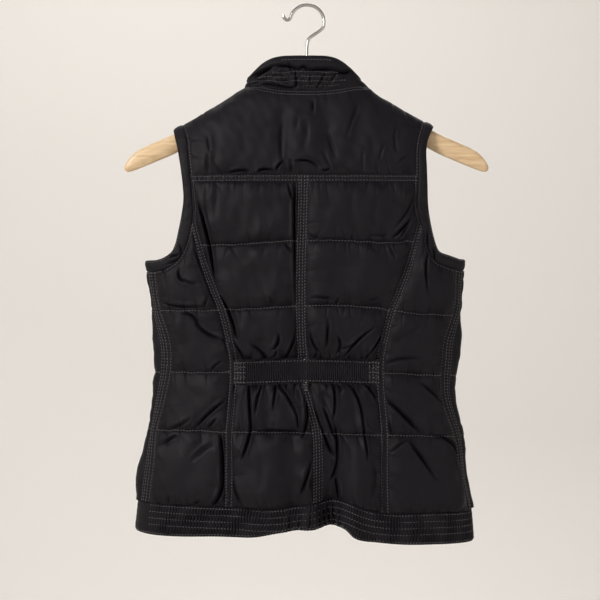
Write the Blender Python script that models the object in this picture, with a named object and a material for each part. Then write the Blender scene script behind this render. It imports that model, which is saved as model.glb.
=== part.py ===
"""Quilted puffer vest hanging on a wooden clothes hanger.

The frame: +Z is up, -Y is the vest's back, +Y is its zipped front, +X is the wearer's right.
The origin is the point inside the hook's arch where the hanger hangs.  Sizes are in millimetres
down to the function that makes the mesh, and "drop" is the distance below the origin.
"""
import math

import bmesh
import bpy
import numpy as np
from mathutils import Matrix, Vector

MM = 0.001
SEAM_GAP = 0.3
HALF_GAP = SEAM_GAP / 2
SIDE_SEAM_ANGLE = 0.14

# Girth of the vest at a few heights: reach to the wearer's left and right, and depth of the
# inner face behind (back) and before (front) the hanger's plane.
SECTION_COLUMNS = ("drop", "left", "right", "back", "front")
SECTIONS = (
    (70, -238, 238, 24, 22),
    (110, -236, 236, 25, 23),
    (150, -231, 231, 27, 25),
    (206, -213, 213, 31, 27),
    (260, -198, 198, 33, 28),
    (306, -190, 187, 34, 28),
    (365, -181, 182, 34, 28),
    (420, -177, 177, 30, 26),
    (465, -179, 174, 34, 28),
    (515, -186, 185, 42, 33),
    (560, -196, 189, 47, 37),
    (592, -199, 194, 49, 39),
    (650, -205, 198, 50, 40),
)
SECTION_POWER = 2.4

# The ridge that the shoulders make over the hanger, and how soon the cloth falls clear of it.
RIDGE_COLUMNS = ("out", "drop")
RIDGE = (
    (0, 84),
    (40, 89),
    (74, 100),
    (102, 118.5),
    (130, 136.5),
    (145, 145),
    (160, 153),
    (176, 160.5),
    (240, 190),
)
SHOULDER_FALL = 60.0
RIDGE_SEAM_DEPTH = 0.0012
RIDGE_ROWS = ((0.0, 0.0), (0.006, 0.1), (0.03, 0.35))

# Columns of the yoke and the fronts that start on the neck seam or the ridge.
BACK_COLUMNS = (0, 20, 38, 53, 65, 73, 95, 118)
FRONT_COLUMNS = ((16, 0.4), (27, 0.9), (39, 1.0), (51, 1.0), (63, 1.0), (73, 1.0), (96, 0.9), (119, 0.7))

# Seams of the back, as drop against distance out from the middle.
NECK_OUT = 73.0
BACK_NECK = ((0, 110), (25, 109), (45, 106), (62, 102), (NECK_OUT, 99.5))
FRONT_NECK = ((0, 150), (15, 149.5), (35, 142), (52, 129), (65, 113), (NECK_OUT, 99.5))
YOKE_DROP = 206.0
QUILT_ROW_1 = 286.0
QUILT_ROW_2 = 363.0
WAIST_TOP = 423.0
WAIST_BOTTOM = 450.0
QUILT_ROW_3 = 438.0
QUILT_ROW_4 = 509.0
HEM_TOP = ((-210, 590), (0, 591), (60, 592), (95, 596), (140, 597), (205, 601))
HEM_EDGE = (
    (-210, 624),
    (-60, 623),
    (-30, 620),
    (5, 618),
    (35, 618),
    (60, 626),
    (95, 631),
    (205, 635),
)
PRINCESS_COLUMNS = ("drop", "out")
PRINCESS = (
    (206, 149),
    (264, 133),
    (290, 126),
    (316, 118),
    (340, 108.5),
    (365, 98.5),
    (393, 91.5),
    (417, 86.5),
    (445, 85.5),
    (468, 87.5),
    (510, 91.5),
    (545, 91.5),
    (640, 92),
)
CENTRE_BACK = (
    (190, -4),
    (430, -4),
    (451, -2),
    (477, 5),
    (503, 11.5),
    (530, 13),
    (560, 13),
    (640, 11),
)
SIDES = ((-1, "left"), (1, "right"))
SIDE_SEAM_INSET = {-1: 10.0, 1: 5.0}

# Back armholes: the free edge and the seam of the band that binds it, from shoulder to underarm.
ARMHOLE_COLUMNS = ("edge out", "edge drop", "seam out", "seam drop")
ARMHOLES = {
    -1: (
        (157, 151, 146, 145),
        (152.5, 167, 139.5, 164),
        (149, 181, 137.5, 181),
        (146, 199, 135.5, 199),
        (143.5, 220, 133.5, 221),
        (143, 236, 132, 240),
        (145.5, 254, 132, 256),
        (149, 271, 135, 273),
        (152.5, 286, 140, 290),
        (158.5, 297, 149, 305),
        (169, 303.5, 163.5, 315.5),
        (178, 306, 178, 319),
    ),
    1: (
        (148, 147, 138, 140.5),
        (142.5, 163, 132.5, 163),
        (138.5, 178, 129, 180),
        (138.5, 199, 128.5, 199),
        (139, 220, 128, 221),
        (139.5, 238, 127.5, 240),
        (141.5, 254, 130, 256),
        (145.5, 273, 135, 275),
        (150, 288, 140, 292),
        (156, 296.5, 148.5, 306),
        (168, 300.5, 163, 313.5),
        (181, 304.5, 181, 318),
    ),
}
FRONT_SCOOP = 9.0
UNDERARM_DROP = 258.0

# Thickness of the padded wall: flat along every seam, full in the middle of a pocket.
FLAT_WALL = 2.2
POCKET_RISE = 7.0
YOKE_RISE = 3.0
SIDE_RISE = 6.0
FRONT_RISE = 7.0
SEAM_STRIP = 4.0
BAND_PROFILE = ((0.0, 2.7), (0.5, 3.6), (1.0, FLAT_WALL))
RIB_PROFILE = ((0.0, 0.0), (0.14, 1.0), (0.86, 1.0), (1.0, 0.0))
HEM_PROFILE = ((0.0, 0.0), (0.15, 1.0), (0.85, 1.0), (1.0, 0.2))
YOKE_PROFILE = RIDGE_ROWS + ((0.1, 1.0), (0.25, 1.0), (0.5, 1.0), (0.75, 1.0), (0.93, 0.6), (1.0, 0.0))
POCKET_PROFILE = ((0.0, 0.0), (0.08, 0.6), (0.3, 0.95), (0.7, 0.95), (0.92, 0.6))
TALL_PROFILE = ((0.0, 0.0), (0.07, 0.6), (0.22, 0.9), (0.4, 1.0), (0.58, 1.0), (0.76, 0.9), (0.93, 0.6))

# Rough width of each quilted panel, and where its columns lie as shares of the width.
MIDDLE_PANEL = (105, (0.16, 0.34, 0.5, 0.66, 0.84))
LOWER_PANEL = (88, (0.14, 0.24, 0.34, 0.46, 0.6, 0.74, 0.86))
SIDE_PANEL = (88, (0.14, 0.3, 0.5, 0.7, 0.86))
ROUND_PANEL = (120, (0.08, 0.16, 0.24, 0.33, 0.45, 0.6, 0.76, 0.9))

# Folds of the back: a line from its upper to its lower end, its half width and how far it sinks
# in (or, below nought, stands out).
FOLD_COLUMNS = ("x top", "drop top", "x foot", "drop foot", "half width", "depth")
FOLDS = (
    (27, 505, 29, 650, 14, 25),
    (-22, 452, -10, 650, 11, 8),
    (-68, 452, -70, 505, 8, 4),
    (-45, 452, -42, 520, 8, 4),
    (52, 452, 56, 500, 8, 4),
    (-30, 450, -62, 640, 18, -5),
    (58, 520, 62, 640, 13, -6),
    (-122, 300, -84, 408, 7, 4),
    (-140, 362, -96, 412, 10, 5),
    (-98, 470, -134, 515, 10, 5),
    (-104, 500, -136, 540, 9, 4),
    (-140, 505, -170, 535, 9, 4),
    (96, 470, 138, 512, 10, 5),
    (118, 512, 152, 560, 10, 5),
    (150, 515, 182, 560, 9, 4),
    (22, 118, 26, 196, 10, 3),
    (-28, 122, -26, 196, 10, 3),
    (62, 104, 66, 168, 11, 3),
    (-20, 340, -4, 424, 10, 5),
    (-55, 395, -50, 424, 8, 4),
    (35, 395, 30, 424, 8, 4),
)

OPEN_FOLD_FADE = 1.6

WAIST_RIBS = 44
HEM_GATHERS = {"back": 18, "front": 20}
RIB_RISE = 1.3
HEM_RISE = 1.7

# Stand collar, one half: where each line across it starts on the neck seam and ends at the rim.
COLLAR_COLUMNS = ("face", "seam out", "rim out", "rim y", "rim drop")
COLLAR = (
    ("back", 0, 0, -23, 65.5),
    ("back", 16, 12.5, -23, 65),
    ("back", 32, 25, -22.5, 65),
    ("back", 46, 37, -20, 67.5),
    ("back", 58, 48, -14, 73.5),
    ("back", 67, 55, -7, 81),
    ("back", 73, 58.5, 1, 88.5),
    ("front", 73, 58.5, 1, 88.5),
    ("front", 71, 58, 8, 94.5),
    ("front", 66, 54, 15, 101),
    ("front", 57, 47, 21, 107),
    ("front", 45, 38, 26, 112),
    ("front", 30, 26, 29.5, 116),
    ("front", 16, 15, 31, 118),
    ("front", 7.5, 7.5, 31, 118),
)
COLLAR_CLEARANCE = 3.7
RIM_SHIFT = 1.5
COLLAR_ROWS = ((0.0, 2.0), (0.15, 2.0), (0.3, 3.8), (0.5, 3.4), (0.68, 5.6), (0.86, 5.0), (1.0, 2.4))

# Zip at the middle of the front.
ZIP_EDGE = 7.5
TAPE_INNER = 3.1
TAPE_OUTER = 15.0
TAPE_WALL = 1.0
CHAIN_HALF = 2.8
CHAIN_WALL = 2.4
TAPE_FACE = -0.5
CHAIN_FACE = 0.9
ZIP_TOP = 121.0
CHAIN_TOP = 128.0
ZIP_FOOT = 615.0
ZIP_STEP = 32.0

# Slider, at the top of the closed zip, with the bridge that its pull tab hangs from.
SLIDER_DROP = 129.0
SLIDER_LONG = 12.0
SLIDER_WIDE = 9.0
SLIDER_PLATE = 1.5
POST_LONG = 4.0
POST_WIDE = 2.4
POST_FOOT = 1.6
BRIDGE_WIDE = 2.0
BRIDGE_BAR = 1.2
BRIDGE_INSIDE = 2.6
BRIDGE_LONG = 8.0
PIN_BELOW_MIDDLE = 1.2
TAB_THICK = 1.5
TAB_LOOP_HALF = 1.6
TAB_HALF = 3.2
TAB_LOOP_FOOT = 6.9
TAB_FOOT = 27.0

# Wooden hanger: its upper edge, height and half thickness, out from the middle.
HANGER_COLUMNS = ("out", "top drop", "height", "half thickness")
HANGER = (
    (0, 77.5, 34, 8.0),
    (10, 80.5, 31, 8.0),
    (24, 88.5, 26, 7.6),
    (46, 98.5, 24, 7.2),
    (66, 104.5, 23.5, 7.0),
    (82, 110.5, 23.5, 7.0),
    (102, 120.0, 24, 7.0),
    (130, 136.9, 24, 7.0),
    (145, 145.4, 24, 7.0),
    (160, 153.4, 23.8, 7.0),
    (176, 160.4, 23.6, 7.0),
    (193, 168.0, 23.2, 6.9),
    (204, 174.0, 21.5, 6.6),
    (211, 180.5, 17.2, 5.9),
    (216, 187.5, 10.4, 4.3),
    (218, 191.5, 4.6, 2.2),
)
HANGER_SECTION_COLUMNS = ("share of half thickness", "share of height")
HANGER_SECTION = ((0.45, 0.0), (1.0, 0.34), (1.0, 0.7), (0.8, 0.88), (0.42, 0.972), (0.12, 1.0))
BORE_DEPTH = 14.0

# Hook of round steel wire, from the foot of its shank to its curled tip.
WIRE = 4.2
ARCH_RADIUS = 20.6
ARCH_X = 0.6
ARCH_FROM = -10.0
ARCH_TO = 166.0
ARCH_STEP = 16.0
SHANK = ((0.6, 76), (0.6, 62), (0.6, 50), (2.3, 39.5), (7.8, 34.3), (14.2, 30.2), (18.8, 26.3))
TIP = ((-22.0, 15.8), (-25.2, 15.3), (-27.2, 12.8), (-27.6, 10.0))


def dense(rows, start, stop, step=1.0):
    """A table's column as a smooth curve, sampled every step."""
    keys = np.array([row[0] for row in rows], float)
    values = np.array([row[1] for row in rows], float)
    slopes = np.gradient(values, keys)
    at = np.arange(start, stop + step, step)
    held = np.clip(at, keys[0], keys[-1])
    index = np.clip(np.searchsorted(keys, held) - 1, 0, len(keys) - 2)
    span = keys[index + 1] - keys[index]
    share = (held - keys[index]) / span
    first = values[index] * (1 + 2 * share) * (1 - share) ** 2
    first += span * slopes[index] * share * (1 - share) ** 2
    second = values[index + 1] * share ** 2 * (3 - 2 * share)
    second += span * slopes[index + 1] * share ** 2 * (share - 1)
    return at, first + second


def curve(rows, start, stop):
    """A function that reads a table of (key, value) rows as a smooth curve."""
    at, values = dense(rows, start, stop)
    return lambda key: float(np.interp(key, at, values))


def section_curve(name):
    column = SECTION_COLUMNS.index(name)
    return curve([(row[0], row[column]) for row in SECTIONS], 60, 660)


reach_left = section_curve("left")
reach_right = section_curve("right")
depth_back = section_curve("back")
depth_front = section_curve("front")
ridge_drop = curve(RIDGE, 0, 240)
princess_out = curve(PRINCESS, 190, 650)
centre_back_x = curve(CENTRE_BACK, 190, 650)
hem_top = curve(HEM_TOP, -215, 215)
hem_edge = curve(HEM_EDGE, -215, 215)
back_neck = curve(BACK_NECK, 0, 80)
front_neck = curve(FRONT_NECK, 0, 80)


def middle(drop):
    return (reach_left(drop) + reach_right(drop)) / 2


def half_width(drop):
    return (reach_right(drop) - reach_left(drop)) / 2


def shoulder_share(x, drop):
    """How much of its depth the cloth has, from none on the ridge to all well below it."""
    fall = min(max((drop - ridge_drop(abs(x))) / SHOULDER_FALL, 0.0), 1.0)
    return math.sqrt(1 - (1 - fall) ** 2)


def angle_at(x, drop, face):
    """The place round the vest, in degrees from the middle of the back, of a point seen at x."""
    out = (x - middle(drop)) / half_width(drop)
    turn = math.degrees(math.asin(min(abs(out), 1.0) ** (SECTION_POWER / 2)))
    if face == "front":
        turn = 180 - turn
    return math.copysign(turn, out)


def x_at(angle, drop):
    out = abs(math.sin(math.radians(angle))) ** (2 / SECTION_POWER)
    return middle(drop) + math.copysign(half_width(drop) * out, angle)


def plain_point(angle, drop):
    """Inner face of the vest with no folds in it."""
    x = x_at(angle, drop)
    facing = math.cos(math.radians(angle))
    depth = abs(facing) ** (2 / SECTION_POWER) * shoulder_share(x, drop)
    y = -depth_back(drop) * depth if facing > 0 else depth_front(drop) * depth
    return Vector((x, y, -drop))


def outward(angle, drop):
    """Unit direction straight out of the plain inner face."""
    across = plain_point(angle + 0.5, drop) - plain_point(angle - 0.5, drop)
    down = plain_point(angle, drop + 0.5) - plain_point(angle, drop - 0.5)
    return across.cross(down).normalized() * -1.0


def fold_depth(x, drop):
    """How far the folds push the back in at a point."""
    total = 0.0
    for x_top, drop_top, x_foot, drop_foot, half, depth in FOLDS:
        run_x = x_foot - x_top
        run_drop = drop_foot - drop_top
        length = math.hypot(run_x, run_drop)
        along = ((x - x_top) * run_x + (drop - drop_top) * run_drop) / length ** 2
        if not 0.0 < along < 1.0:
            continue
        across = ((x - x_top) * run_drop - (drop - drop_top) * run_x) / length
        if drop_foot > HEM_TOP[0][1]:
            fade = min(1.0, along * OPEN_FOLD_FADE)
        else:
            fade = math.sin(math.pi * along)
        total += depth * fade * math.exp(-(across / half) ** 2)
    return total


def inner_point(angle, drop):
    """Inner face of the vest: the plain form and the folds of its back."""
    point = plain_point(angle, drop)
    facing = math.cos(math.radians(angle))
    if facing > 0:
        point.y += fold_depth(point.x, drop) * min(1.0, facing * 2)
    return point


def material(name, colour, roughness, metallic=0.0):
    shader = bpy.data.materials.new(name)
    shader.use_nodes = True
    principled = shader.node_tree.nodes["Principled BSDF"]
    principled.inputs["Base Color"].default_value = (*colour, 1.0)
    principled.inputs["Roughness"].default_value = roughness
    principled.inputs["Metallic"].default_value = metallic
    return shader


def add_object(name, bm, finish, parent=None):
    """Turn a bmesh in millimetres into a named object in metres."""
    bmesh.ops.transform(bm, matrix=Matrix.Scale(MM, 4), verts=bm.verts)
    bmesh.ops.recalc_face_normals(bm, faces=bm.faces)
    mesh = bpy.data.meshes.new(name)
    bm.to_mesh(mesh)
    bm.free()
    mesh.materials.append(finish)
    mesh.shade_smooth()
    mesh.set_sharp_from_angle(angle=math.radians(40))
    made = bpy.data.objects.new(name, mesh)
    bpy.context.scene.collection.objects.link(made)
    made.parent = parent
    return made


def wall(name, inside, outside, finish):
    """Closed wall between two grids of points.

    The sheet is a flat grid first, with the row and column of each point as its place.  It is
    extruded to two layers, and then each point of each layer goes where it belongs.
    """
    rows = len(inside)
    columns = len(inside[0])
    bm = bmesh.new()
    bmesh.ops.create_grid(bm, x_segments=columns - 1, y_segments=rows - 1, size=0.5)
    for vert in bm.verts:
        vert.co.x = round((vert.co.x + 0.5) * (columns - 1))
        vert.co.y = round((vert.co.y + 0.5) * (rows - 1))
    made = bmesh.ops.extrude_face_region(bm, geom=bm.faces[:], use_keep_orig=True)
    for vert in (item for item in made["geom"] if isinstance(item, bmesh.types.BMVert)):
        vert.co.z = 1.0
    for vert in bm.verts:
        layer = outside if vert.co.z > 0.5 else inside
        vert.co = layer[round(vert.co.y)][round(vert.co.x)]
    return add_object(name, bm, finish)


def solve_drop(line, angle_of, share):
    """Where a line across the vest meets a column that runs down a panel."""
    low, high = 60.0, 660.0
    for _ in range(34):
        drop = (low + high) / 2
        if drop < line(x_at(angle_of(share, drop), drop)):
            low = drop
        else:
            high = drop
    return (low + high) / 2


def panel_places(edge_a, edge_b, columns, rows):
    """Angle and drop of each point of a panel.

    edge_a and edge_b give the angle of the panel's side edges at a drop; a row is (upper line,
    lower line, share of the way between them, rise), a column (share, rise).
    """

    def angle_of(share, drop):
        return edge_a(drop) + (edge_b(drop) - edge_a(drop)) * share

    places = []
    for upper, lower, between, _ in rows:
        line = []
        for share, _ in columns:
            start = solve_drop(upper, angle_of, share)
            stop = solve_drop(lower, angle_of, share)
            drop = start + (stop - start) * between
            line.append((angle_of(share, drop), drop))
        places.append(line)
    return places


def padded_wall(name, places, thickness, finish):
    """Wall whose inner face follows the vest and whose outer face is raised by its padding."""
    inside = []
    outside = []
    for row, thick_row in zip(places, thickness):
        inner_row = [inner_point(angle, drop) for angle, drop in row]
        inside.append(inner_row)
        outside.append([
            point + outward(angle, drop) * thick
            for point, (angle, drop), thick in zip(inner_row, row, thick_row)
        ])
    return wall(name, inside, outside, finish)


def level(drop):
    return lambda x: drop


def pocket_rows(lines, first_profile=POCKET_PROFILE):
    """Rows of a column of quilted pockets, pinched at every line of stitches."""
    rows = []
    for upper, lower in zip(lines, lines[1:]):
        profile = POCKET_PROFILE if rows else first_profile
        rows += [(upper, lower, share, rise) for share, rise in profile]
    rows.append((lines[-2], lines[-1], 1.0, 0.0))
    return rows


def pocket_columns(width, shares):
    """Columns of a quilted panel: a flat strip along each side seam and a swell between."""
    strip = SEAM_STRIP / width
    raised = [(share, math.sqrt(math.sin(math.pi * share))) for share in shares]
    return [(0.0, 0.0), (strip, 0.0)] + raised + [(1 - strip, 0.0), (1.0, 0.0)]


def swell(columns, rows, rise):
    """Thickness of a padded wall at each of its points."""
    return [
        [FLAT_WALL + rise * column_rise * row_rise for _, column_rise in columns]
        for *_, row_rise in rows
    ]


def armhole_stations(side):
    """The armhole's edge and seam as smooth curves, from shoulder to underarm."""
    table = ARMHOLES[side]
    curves = []
    for column in range(4):
        rows = [(index, row[column]) for index, row in enumerate(table)]
        curves.append(dense(rows, 0, len(table) - 1, 0.05)[1])
    return curves


ARMHOLE_CURVES = {side: armhole_stations(side) for side in (-1, 1)}


def scoop(side, drop):
    """How much further in the front armhole is cut than the back one."""
    start = ARMHOLES[side][0][1]
    stop = ARMHOLES[side][-1][1]
    share = min(max((drop - start) / (stop - start), 0.0), 1.0)
    return FRONT_SCOOP * math.sin(math.pi * share) ** 1.5


def armhole_seam(side, face, drop):
    """How far out the armhole's seam lies at a drop."""
    _, _, seam_out, seam_drop = ARMHOLE_CURVES[side]
    cut = scoop(side, drop) if face == "front" else 0.0
    return float(np.interp(drop, seam_drop, seam_out)) - cut


def armhole_edge(side, face, drop):
    """The point of the armhole's free edge that faces the seam at a drop."""
    edge_out, edge_drop, _, seam_drop = ARMHOLE_CURVES[side]
    cut = scoop(side, drop) if face == "front" else 0.0
    out = float(np.interp(drop, seam_drop, edge_out)) - cut
    return out, float(np.interp(drop, seam_drop, edge_drop))


def side_seam_edge(side, face):
    """Edge of a side panel along the side seam, which lies a little behind the vest's side."""
    gap = SIDE_SEAM_ANGLE if face == "front" else -SIDE_SEAM_ANGLE

    def edge(drop):
        reach = reach_left(drop) if side < 0 else reach_right(drop)
        return angle_at(reach - side * SIDE_SEAM_INSET[side], drop, "back") + side * gap

    return edge


def seam_edge(side, face):
    """Side edge of a middle panel: the armhole's seam, then the princess seam below it."""

    def edge(drop):
        out = min(armhole_seam(side, face, drop), princess_out(drop) - HALF_GAP)
        return angle_at(side * out, drop, face)

    return edge


def princess_edge(side, face):
    """Edge of a side panel along the princess seam."""
    return lambda drop: angle_at(side * (princess_out(drop) + HALF_GAP), drop, face)


def strip_start(side):
    """Where the flat strip beside the armhole's seam starts on the ridge."""
    return side * (ARMHOLES[side][0][2] - SEAM_STRIP)


def share_at(x, line, edge_a, edge_b, face):
    """Share of the way across a panel of the column that starts on its upper line at x."""
    drop = line(x)
    start = edge_a(drop)
    return (angle_at(x, drop, face) - start) / (edge_b(drop) - start)


def armhole_line(side, face):
    """Drop of the armhole's seam where it is seen at x, along its lower stretch."""
    foot = ARMHOLES[side][-1][3]
    drops = np.linspace(UNDERARM_DROP, foot, 140)
    outs = np.maximum.accumulate([armhole_seam(side, face, drop) for drop in drops])
    return lambda x: float(np.interp(abs(x), outs, drops))


def shoulder_line(neck):
    """Upper edge of a yoke or front: the neck's curve, then the ridge of the shoulder."""

    def line(x):
        out = abs(x)
        if out < NECK_OUT:
            return neck(out)
        return ridge_drop(out) + RIDGE_SEAM_DEPTH

    return line


bpy.ops.object.select_all(action="DESELECT")
for old in list(bpy.data.objects):
    bpy.data.objects.remove(old, do_unlink=True)

CLOTH = material("black quilted nylon", (0.017, 0.016, 0.018), 0.62)
TAPE = material("black zip tape", (0.012, 0.012, 0.013), 0.85)
METAL = material("dark zip metal", (0.10, 0.10, 0.105), 0.35, 1.0)
WOOD = material("pale maple wood", (0.72, 0.50, 0.29), 0.42)
STEEL = material("bright steel wire", (0.62, 0.61, 0.59), 0.22, 1.0)

band_stations = {(side, face): [] for side in (-1, 1) for face in ("back", "front")}
underarm_angles = {}


def keep_stations(side, face, places, at_end):
    """Remember where a panel's rows meet the armhole, so that its band meets them there."""
    for row in places:
        drop = row[-1 if at_end else 0][1]
        if armhole_seam(side, face, drop) <= princess_out(drop):
            band_stations[side, face].append(drop)


# Back yoke, from shoulder to shoulder.
yoke_top = shoulder_line(back_neck)
yoke_edges = (seam_edge(-1, "back"), seam_edge(1, "back"))
yoke_columns = [(0.0, 0.0)]
yoke_outs = [strip_start(-1)] + [-out for out in reversed(BACK_COLUMNS[1:])]
yoke_outs += list(BACK_COLUMNS) + [strip_start(1)]
for x in yoke_outs:
    rise = 0.0 if x in (yoke_outs[0], yoke_outs[-1]) else 1.0
    yoke_columns.append((share_at(x, yoke_top, *yoke_edges, "back"), rise))
yoke_columns.append((1.0, 0.0))
yoke_foot = level(YOKE_DROP - HALF_GAP)
yoke_rows = [(yoke_top, yoke_foot, share, rise) for share, rise in YOKE_PROFILE]
yoke_places = panel_places(*yoke_edges, yoke_columns, yoke_rows)
padded_wall("back_yoke", yoke_places, swell(yoke_columns, yoke_rows, YOKE_RISE), CLOTH)
keep_stations(-1, "back", yoke_places, at_end=False)
keep_stations(1, "back", yoke_places, at_end=True)

def above_hem(x):
    return hem_top(x) - HALF_GAP


def centre_edge(side):
    return lambda drop: angle_at(centre_back_x(drop) + side * HALF_GAP, drop, "back")


# Middle panels of the back, above and below the waistband.
upper_lines = [level(YOKE_DROP + HALF_GAP), level(QUILT_ROW_1), level(QUILT_ROW_2)]
upper_lines.append(level(WAIST_TOP - HALF_GAP))
upper_rows = pocket_rows(upper_lines)
upper_columns = pocket_columns(*MIDDLE_PANEL)
lower_lines = [level(WAIST_BOTTOM + HALF_GAP), level(QUILT_ROW_4), above_hem]
lower_rows = pocket_rows(lower_lines)
lower_columns = pocket_columns(*LOWER_PANEL)
for side, word in SIDES:
    edges = (centre_edge(side), seam_edge(side, "back"))
    places = panel_places(*edges, upper_columns, upper_rows)
    padded_wall("back_upper_" + word, places, swell(upper_columns, upper_rows, POCKET_RISE), CLOTH)
    keep_stations(side, "back", places, at_end=True)
    places = panel_places(*edges, lower_columns, lower_rows)
    padded_wall("back_lower_" + word, places, swell(lower_columns, lower_rows, POCKET_RISE), CLOTH)

# Shirred waistband between the princess seams.
rib_count = WAIST_RIBS * 2
rib_columns = [(index / rib_count, 1.0 if index % 2 else 0.0) for index in range(rib_count + 1)]
waist_top = level(WAIST_TOP + HALF_GAP)
waist_foot = level(WAIST_BOTTOM - HALF_GAP)
waist_rows = [(waist_top, waist_foot, share, rise) for share, rise in RIB_PROFILE]
waist_places = panel_places(seam_edge(-1, "back"), seam_edge(1, "back"), rib_columns, waist_rows)
padded_wall("waistband", waist_places, swell(rib_columns, waist_rows, RIB_RISE), CLOTH)

def front_edge(side):
    return lambda drop: angle_at(middle(drop) + side * ZIP_EDGE, drop, "front")


# Side panels of the back, and the front panels beside the zip and round the sides.
side_columns = pocket_columns(*SIDE_PANEL)
round_columns = pocket_columns(*ROUND_PANEL)
for side, word in SIDES:
    for face, columns in (("back", side_columns), ("front", round_columns)):
        lines = [armhole_line(side, face), level(QUILT_ROW_2), level(QUILT_ROW_3)]
        lines += [level(QUILT_ROW_4), above_hem]
        rows = pocket_rows(lines, TALL_PROFILE)
        edges = (side_seam_edge(side, face), princess_edge(side, face))
        places = panel_places(*edges, columns, rows)
        padded_wall(face + "_side_" + word, places, swell(columns, rows, SIDE_RISE), CLOTH)
        foot = ARMHOLES[side][-1][3] - 0.02
        band_stations[side, face] += [drop for _, drop in reversed(places[0]) if drop < foot]
        underarm_angles[side, face] = [angle for angle, drop in reversed(places[0]) if drop >= foot]

    front_top = shoulder_line(front_neck)
    lines = [front_top, level(YOKE_DROP), level(QUILT_ROW_1), level(QUILT_ROW_2)]
    lines += [level(QUILT_ROW_3), level(QUILT_ROW_4), above_hem]
    rows = pocket_rows(lines)
    rows[:1] = [(lines[0], lines[1], share, rise) for share, rise in RIDGE_ROWS]
    front_edges = (front_edge(side), seam_edge(side, "front"))
    front_columns = [(0.0, 0.0)]
    for out, rise in FRONT_COLUMNS + ((abs(strip_start(side)), 0.0),):
        front_columns.append((share_at(side * out, front_top, *front_edges, "front"), rise))
    front_columns.append((1.0, 0.0))
    places = panel_places(*front_edges, front_columns, rows)
    padded_wall("front_" + word, places, swell(front_columns, rows, FRONT_RISE), CLOTH)
    keep_stations(side, "front", places, at_end=True)

# Bands that bind the armholes.
for side, word in SIDES:
    for face in ("back", "front"):
        drops = sorted(set(round(drop, 3) for drop in band_stations[side, face]))
        places = []
        for share, _ in BAND_PROFILE:
            line = []
            for drop in drops:
                seam_out = armhole_seam(side, face, drop)
                edge_out, edge_drop = armhole_edge(side, face, drop)
                width = math.hypot(edge_out - seam_out, edge_drop - drop)
                to_seam = share * (1 - SEAM_GAP / width)
                out = edge_out + (seam_out - edge_out) * to_seam
                at = edge_drop + (drop - edge_drop) * to_seam
                line.append((angle_at(side * out, at, face), at))
            _, edge_foot, _, seam_foot = ARMHOLES[side][-1]
            foot = edge_foot + (seam_foot - SEAM_GAP - edge_foot) * share
            line += [(angle, foot) for angle in underarm_angles[side, face]]
            places.append(line)
        thickness = [[thick] * len(places[0]) for _, thick in BAND_PROFILE]
        padded_wall("armhole_" + face + "_" + word, places, thickness, CLOTH)

def below_hem(x):
    return hem_top(x) + HALF_GAP


# Gathered hem bands.
hem_rows = [(below_hem, hem_edge, share, rise) for share, rise in HEM_PROFILE]
for side, word in SIDES:
    for face, gathers in HEM_GATHERS.items():
        first = centre_edge(side) if face == "back" else front_edge(side)
        count = gathers * 2
        columns = [(index / count, 1.0 if index % 2 else 0.35) for index in range(count + 1)]
        places = panel_places(first, side_seam_edge(side, face), columns, hem_rows)
        padded_wall("hem_" + face + "_" + word, places, swell(columns, hem_rows, HEM_RISE), CLOTH)


def loft(name, rings, finish):
    """Closed body through a row of rings with the same number of points."""
    bm = bmesh.new()
    loops = []
    for ring in rings:
        verts = [bm.verts.new(point) for point in ring]
        loops.append([bm.edges.new(pair) for pair in zip(verts, verts[1:] + verts[:1])])
    for loop, following in zip(loops, loops[1:]):
        bmesh.ops.bridge_loops(bm, edges=loop + following)
    for loop in (loops[0], loops[-1]):
        bmesh.ops.edgeloop_fill(bm, edges=loop)
    return add_object(name, bm, finish)


# Stand collar: a padded wall that rises from the neck seam and is open at the zip.
def neck_point(side, face, out):
    drop = back_neck(out) if face == "back" else front_neck(out)
    angle = angle_at(side * out, drop, face)
    return plain_point(angle, drop), outward(angle, drop)


def rim_point(side, face, out):
    """Where the line across the collar that starts at this place on the neck seam ends."""
    rows = [row for row in COLLAR if row[0] == face]
    rows.sort(key=lambda row: row[1])
    rim_out, rim_y, rim_drop = (
        float(np.interp(out, *dense([(row[1], row[column]) for row in rows], 0, NECK_OUT + 1)))
        for column in (2, 3, 4)
    )
    shift = RIM_SHIFT * min(1.0, (COLLAR[-1][3] - rim_y) / 20)
    return Vector((side * rim_out - shift, rim_y, -rim_drop))


half_collar = [("back", out) for out in BACK_COLUMNS if out <= NECK_OUT]
half_collar += [("front", out) for out, _ in reversed(FRONT_COLUMNS) if out < NECK_OUT]
half_collar.append(("front", ZIP_EDGE))
collar_lines = [(-1, face, out) for face, out in reversed(half_collar[1:])]
collar_lines += [(1, face, out) for face, out in half_collar]
neck_points = [neck_point(*line) for line in collar_lines]
collar_inside = [[] for _ in COLLAR_ROWS]
collar_outside = [[] for _ in COLLAR_ROWS]
for index, (line, (foot, facing)) in enumerate(zip(collar_lines, neck_points)):
    rim = rim_point(*line)
    before = neck_points[max(index - 1, 0)][0]
    after = neck_points[min(index + 1, len(neck_points) - 1)][0]
    along = (after - before).normalized()
    to_hole = along.cross(facing).normalized()
    if to_hole.dot(rim - foot) < 0:
        to_hole.negate()
    rise = (rim - foot).normalized()
    face_out = rise.cross(along).normalized()
    if face_out.dot(Vector((foot.x, foot.y, 0))) < 0:
        face_out.negate()
    clear = SEAM_GAP + COLLAR_CLEARANCE * max(0.0, -face_out.dot(to_hole))
    foot = foot + to_hole * clear
    for (share, thick), inner_row, outer_row in zip(COLLAR_ROWS, collar_inside, collar_outside):
        point = foot.lerp(rim, share)
        inner_row.append(point)
        outer_row.append(point + face_out * thick)
wall("collar", collar_inside, collar_outside, CLOTH)


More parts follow.
